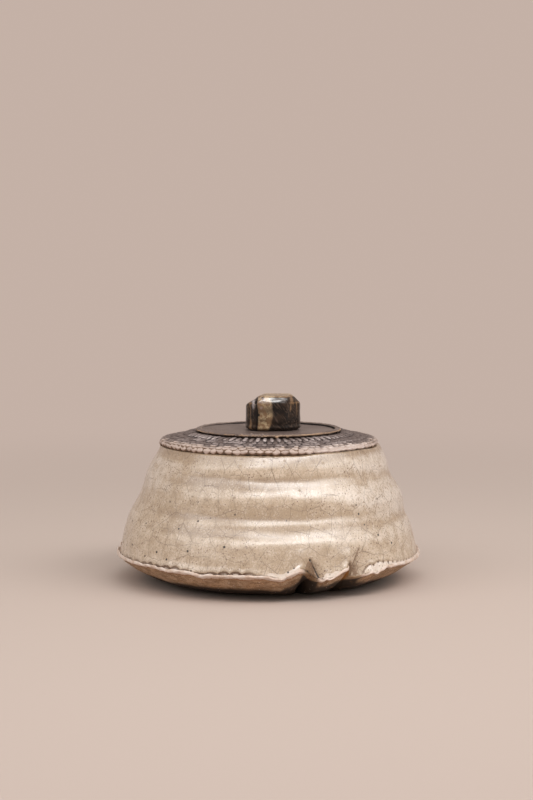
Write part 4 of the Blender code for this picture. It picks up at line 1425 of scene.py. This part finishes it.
class RAKU_OT_knob(bpy.types.Operator):
    """Cuts the knob from a block with a wire and glazes it"""

    bl_idname = "raku.knob"
    bl_label = "Cut Knob"

    def cut(self, angle, lean, reach, height):
        """Cuts the block at an angle, leaning up from level, through a share of its reach and height."""
        turn = math.radians(angle)
        tilt = math.radians(lean)
        outward = Vector((math.sin(turn), -math.cos(turn), 0.0))
        up = Vector((0.0, 0.0, 1.0))
        middle = Vector((KNOB_OFFSET, 0.0, KNOB_FOOT))
        place = middle + outward * KNOB_REACH * reach + up * KNOB_HEIGHT * height
        normal = outward * math.cos(tilt) + up * math.sin(tilt)
        bpy.ops.mesh.select_all(action="SELECT")
        bpy.ops.mesh.bisect(plane_co=place, plane_no=normal, use_fill=True, clear_outer=True)

    def execute(self, context):
        look = context.scene.raku_knob
        bpy.ops.object.select_all(action="DESELECT")
        centre = (KNOB_OFFSET, 0.0, KNOB_FOOT + KNOB_HEIGHT / 2.0)
        bpy.ops.mesh.primitive_cube_add(size=1.0, location=centre)
        piece = bpy.context.object
        piece.name = "cut_knob"
        piece.scale = (2.0 * KNOB_REACH, 2.0 * KNOB_REACH, KNOB_HEIGHT)
        bpy.ops.object.transform_apply()
        bpy.ops.object.mode_set(mode="EDIT")
        for angle, reach in KNOB_SIDE_CUTS:
            self.cut(angle, 0.0, reach, 0.0)
        for angle, lean, height in KNOB_TOP_CUTS:
            self.cut(angle, lean, 1.0, height)
        bpy.ops.object.mode_set(mode="OBJECT")
        finished(piece, "REMESH", mode="VOXEL", voxel_size=KNOB_GRAIN)
        finished(piece, "SMOOTH", factor=0.5, iterations=round(2.0 * (look.edge / KNOB_GRAIN) ** 2))

        # Marks of the wire, the clay's lumps, the tuck at the foot and a notch in the top
        points = points_of(piece)
        x = points[:, 0] - KNOB_OFFSET
        front_share = smooth_step(-points[:, 1], 0.001, 0.006)
        up_share = (points[:, 2] - KNOB_FOOT) / KNOB_HEIGHT
        wavy = x + 0.0004 * lumps(points, 0.005, 41)
        cleft = hump(wavy, KNOB_CLEFT, 0.00070) * front_share
        seam = hump(wavy, KNOB_SEAM, 0.0007) * front_share * smooth_step(up_share, 0.45, 0.62)
        ridge = hump(x, KNOB_RIDGE, 0.00045) * front_share
        ridge *= smooth_step(up_share, 0.30, 0.50) * smooth_step(0.90 - up_share, 0.0, 0.1)
        lump = 0.00025 * lumps(points, 0.005, 42) + 0.00008 * lumps(points, 0.0018, 43)
        left_share = smooth_step(-wavy, 0.0086, 0.0096) * smooth_step(up_share, 0.45, 1.0)
        notch = hump(x, KNOB_NOTCH[0], 0.0010) * hump(points[:, 1], KNOB_NOTCH[1], 0.0030)
        notch *= smooth_step(up_share, 0.75, 0.95)
        inward = np.stack((-x, -points[:, 1], np.zeros(len(points))), axis=1)
        inward /= np.linalg.norm(inward, axis=1, keepdims=True) + 0.000001
        depth = (0.0009 * cleft + 0.0003 * seam + lump) * smooth_step(up_share, 0.0, 0.03)
        depth += 0.0010 * hump(up_share, 0.0, 0.14) - 0.0009 * hump(up_share, 0.07, 0.07)
        moved = points + inward * depth[:, None]
        moved[:, 2] -= 0.0004 * left_share + 0.0016 * cleft * smooth_step(up_share, 0.6, 1.0) + 0.0010 * notch
        moved_to(piece, moved)

        # The glossy bevel, the cream run, pits, glaze broken over the edges, and painted highlights on the
        # left facet, the bevel and the band
        bevel = smooth_step(x, -0.0095, -0.0050) * smooth_step(-x, -0.0088, -0.0050) * front_share
        sill = 0.76 + 0.13 * smooth_step(x, -0.0030, 0.0090)
        bevel *= smooth_step(up_share - sill, 0.0, 0.06) * smooth_step(0.985 - up_share, 0.0, 0.03)
        band_right = -0.0010 + 0.0012 * np.sin(up_share * 5.0 - 1.2)
        band = front_share * smooth_step(wavy, -0.0092, -0.0078)
        band *= smooth_step(band_right - wavy, -0.0012, 0.0012)
        drained = 0.45 * hump(up_share, 0.60, 0.16) + 0.35 * hump(up_share, 0.30, 0.07)
        drained += 0.25 * hump(up_share, 0.02, 0.06)
        top_share = smooth_step(up_share, 0.95, 0.985)
        dent = hump(points[:, 2], KNOB_FOOT + 0.0085, 0.0009) * hump(wavy, -0.0079, 0.0008) * front_share
        pores = sum(hump(x, place, 0.0007) for place in KNOB_PORES)
        pores *= hump(up_share, 0.955, 0.018) * front_share
        pit = smooth_step(lumps(points, 0.0020, 44), 0.45, 0.70) * 0.6 * top_share + dent + pores
        # Painted highlight: a glint on the left facet, tinting the edge tan and whitish, and a whitish sheen
        # painted on the bevel and the band
        left_glint = front_share * hump(wavy, -0.0105, 0.0009) * smooth_step(up_share, 0.5, 0.75)
        copper = front_share * hump(wavy, -0.0121, 0.0007) * smooth_step(0.95 - up_share, 0.0, 0.2)
        flanks = front_share * (smooth_step(x, 0.0080, 0.0100) + smooth_step(-x, 0.0092, 0.0100))
        smears = flanks * np.clip(0.05 + 0.9 * lumps(points * (1.0, 1.0, 0.15), 0.0009, 49), 0.0, 0.6)
        broken = 0.75 * seam + 0.7 * ridge + 0.35 * hump(up_share, 0.80, 0.02) * front_share + 0.7 * copper
        streaks = lumps(points * (0.12, 0.5, 1.0), 0.0007, 46)
        painted_sheen = 0.5 * bevel * smooth_step(-x, 0.0, 0.0060) + 0.35 * band * hump(up_share, 0.68, 0.10)
        noted(
            piece,
            edge=held(broken + 0.4 * left_glint + smears),
            band=held(band * (0.95 - 0.3 * bevel - drained) + 0.9 * top_share + 0.25 * bevel),
            pit=held(pit + 0.75 * cleft + 0.6 * notch),
            gloss=held(bevel * (0.70 + 0.9 * streaks) + 0.05),
            bloom=0.75 * left_glint + painted_sheen,
        )
        dressed(piece, "lid", "knob", dark_glaze(look))
        return {"FINISHED"}


class RAKU_OT_stage(bpy.types.Operator):
    """Sets the floor, the softboxes, the room's light and the camera"""

    bl_idname = "raku.stage"
    bl_label = "Stage"

    def execute(self, context):
        look = context.scene.raku_stage
        self.floor(look)
        self.lights(look)
        self.room(context.scene, look)
        self.camera(context.scene)
        context.scene.view_settings.view_transform = "Standard"
        return {"FINISHED"}

    def floor(self, look):
        bpy.ops.object.select_all(action="DESELECT")
        bpy.ops.mesh.primitive_circle_add(vertices=96, radius=5.0, fill_type="NGON")
        floor = bpy.context.object
        floor.name = "paper_floor"
        paint = Paint("paper")
        away = paint.vector("LENGTH", {0: paint.place}, "Value")
        path = paint.tree.nodes.new("ShaderNodeLightPath")
        seen = Wire(paint, path.outputs["Is Camera Ray"]) + Wire(paint, path.outputs["Is Glossy Ray"])
        far = paint.ramp(away, 0.14, 0.85) * paint.ramp(seen, 0.0, 0.5)
        paper = paint.add("ShaderNodeBsdfDiffuse", {}, {"Color": (*look.floor, 1.0)})
        glow = paint.add("ShaderNodeEmission", {}, {"Color": (*look.backdrop, 1.0), "Strength": 1.0})
        both = paint.add("ShaderNodeMixShader", {}, {0: far, 1: paper, 2: glow})
        paint.feed(paint.tree.nodes["Material Output"].inputs["Surface"], both)
        floor.data.materials.append(paint.material)

    def lights(self, look):
        for layer, (width, height, share) in enumerate(KEY_LAYERS):
            power = look.key_power * share * width * height
            self.softbox(f"key {layer + 1}", power, width, height, 17.0, 50.0, LIGHT_DISTANCE + 0.01 * layer)
        self.softbox("side", look.side_power, 1.20, 1.20, 70.0, 38.0, LIGHT_DISTANCE)
        self.softbox("fill", look.fill_power, 1.20, 1.00, -62.0, 35.0, LIGHT_DISTANCE)

    def softbox(self, name, power, width, height, azimuth, elevation, distance):
        """A soft light at an angle round and above the box, turned to it."""
        turn = math.radians(azimuth)
        climb = math.radians(elevation)
        away = Vector((math.sin(turn) * math.cos(climb), -math.cos(turn) * math.cos(climb), math.sin(climb)))
        bpy.ops.object.light_add(type="AREA", location=Vector(LIGHT_AIM) + away * distance)
        light = bpy.context.object
        light.name = name
        light.rotation_euler = away.to_track_quat("Z", "Y").to_euler()
        light.data.shape = "RECTANGLE"
        light.data.size = width
        light.data.size_y = height
        light.data.energy = power

    def room(self, scene, look):
        """Lights the box evenly from all round, and shows paper behind it."""
        scene.world = bpy.data.worlds.new("room")
        scene.world.use_nodes = True
        nodes = scene.world.node_tree.nodes
        links = scene.world.node_tree.links
        room = nodes["Background"]
        room.inputs["Color"].default_value = (1.0, 0.985, 0.96, 1.0)
        room.inputs["Strength"].default_value = look.ambient
        backdrop = nodes.new("ShaderNodeBackground")
        backdrop.inputs["Color"].default_value = (*look.backdrop, 1.0)
        path = nodes.new("ShaderNodeLightPath")
        seen = nodes.new("ShaderNodeMath")
        seen.operation = "MAXIMUM"
        both = nodes.new("ShaderNodeMixShader")
        links.new(path.outputs["Is Camera Ray"], seen.inputs[0])
        links.new(path.outputs["Is Glossy Ray"], seen.inputs[1])
        for slot, node in enumerate((seen, room, backdrop)):
            links.new(node.outputs[0], both.inputs[slot])
        links.new(both.outputs[0], nodes["World Output"].inputs["Surface"])

    def camera(self, scene):
        bpy.ops.object.camera_add(location=CAMERA_PLACE)
        camera = bpy.context.object
        camera.rotation_euler = (math.radians(90.0 - CAMERA_DIP), 0.0, 0.0)
        camera.data.lens = CAMERA_LENS
        camera.data.sensor_width = 36.0
        camera.data.clip_start = 0.01
        scene.camera = camera


class RAKU_PT_panel(bpy.types.Panel):
    """Lists the raku box's pieces and their settings"""

    bl_idname = "RAKU_PT_panel"
    bl_label = "Raku Box"
    bl_space_type = "VIEW_3D"
    bl_region_type = "UI"
    bl_category = "Raku Box"

    def draw(self, context):
        for operator, settings in zip(PIECES, SETTINGS):
            box = self.layout.box()
            box.operator(operator.bl_idname)
            group = getattr(context.scene, settings)
            for name in SETTINGS[settings].__annotations__:
                box.prop(group, name)


PIECES = (RAKU_OT_foot, RAKU_OT_wall, RAKU_OT_shoulder, RAKU_OT_lid, RAKU_OT_knob, RAKU_OT_stage)
SETTINGS = {
    "raku_foot": RakuFootSettings,
    "raku_wall": RakuWallSettings,
    "raku_shoulder": RakuShoulderSettings,
    "raku_lid": RakuLidSettings,
    "raku_knob": RakuKnobSettings,
    "raku_stage": RakuStageSettings,
}


def register():
    for name, group in SETTINGS.items():
        bpy.utils.register_class(group)
        setattr(bpy.types.Scene, name, bpy.props.PointerProperty(type=group))
    for operator in PIECES:
        bpy.utils.register_class(operator)
    bpy.utils.register_class(RAKU_PT_panel)


def unregister():
    bpy.utils.unregister_class(RAKU_PT_panel)
    for operator in reversed(PIECES):
        bpy.utils.unregister_class(operator)
    for name, group in SETTINGS.items():
        delattr(bpy.types.Scene, name)
        bpy.utils.unregister_class(group)


def main():
    register()
    bpy.ops.raku.foot()
    bpy.ops.raku.wall()
    bpy.ops.raku.shoulder()
    bpy.ops.raku.lid()
    bpy.ops.raku.knob()
    bpy.ops.raku.stage()
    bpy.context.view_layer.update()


if __name__ == "__main__":
    main()
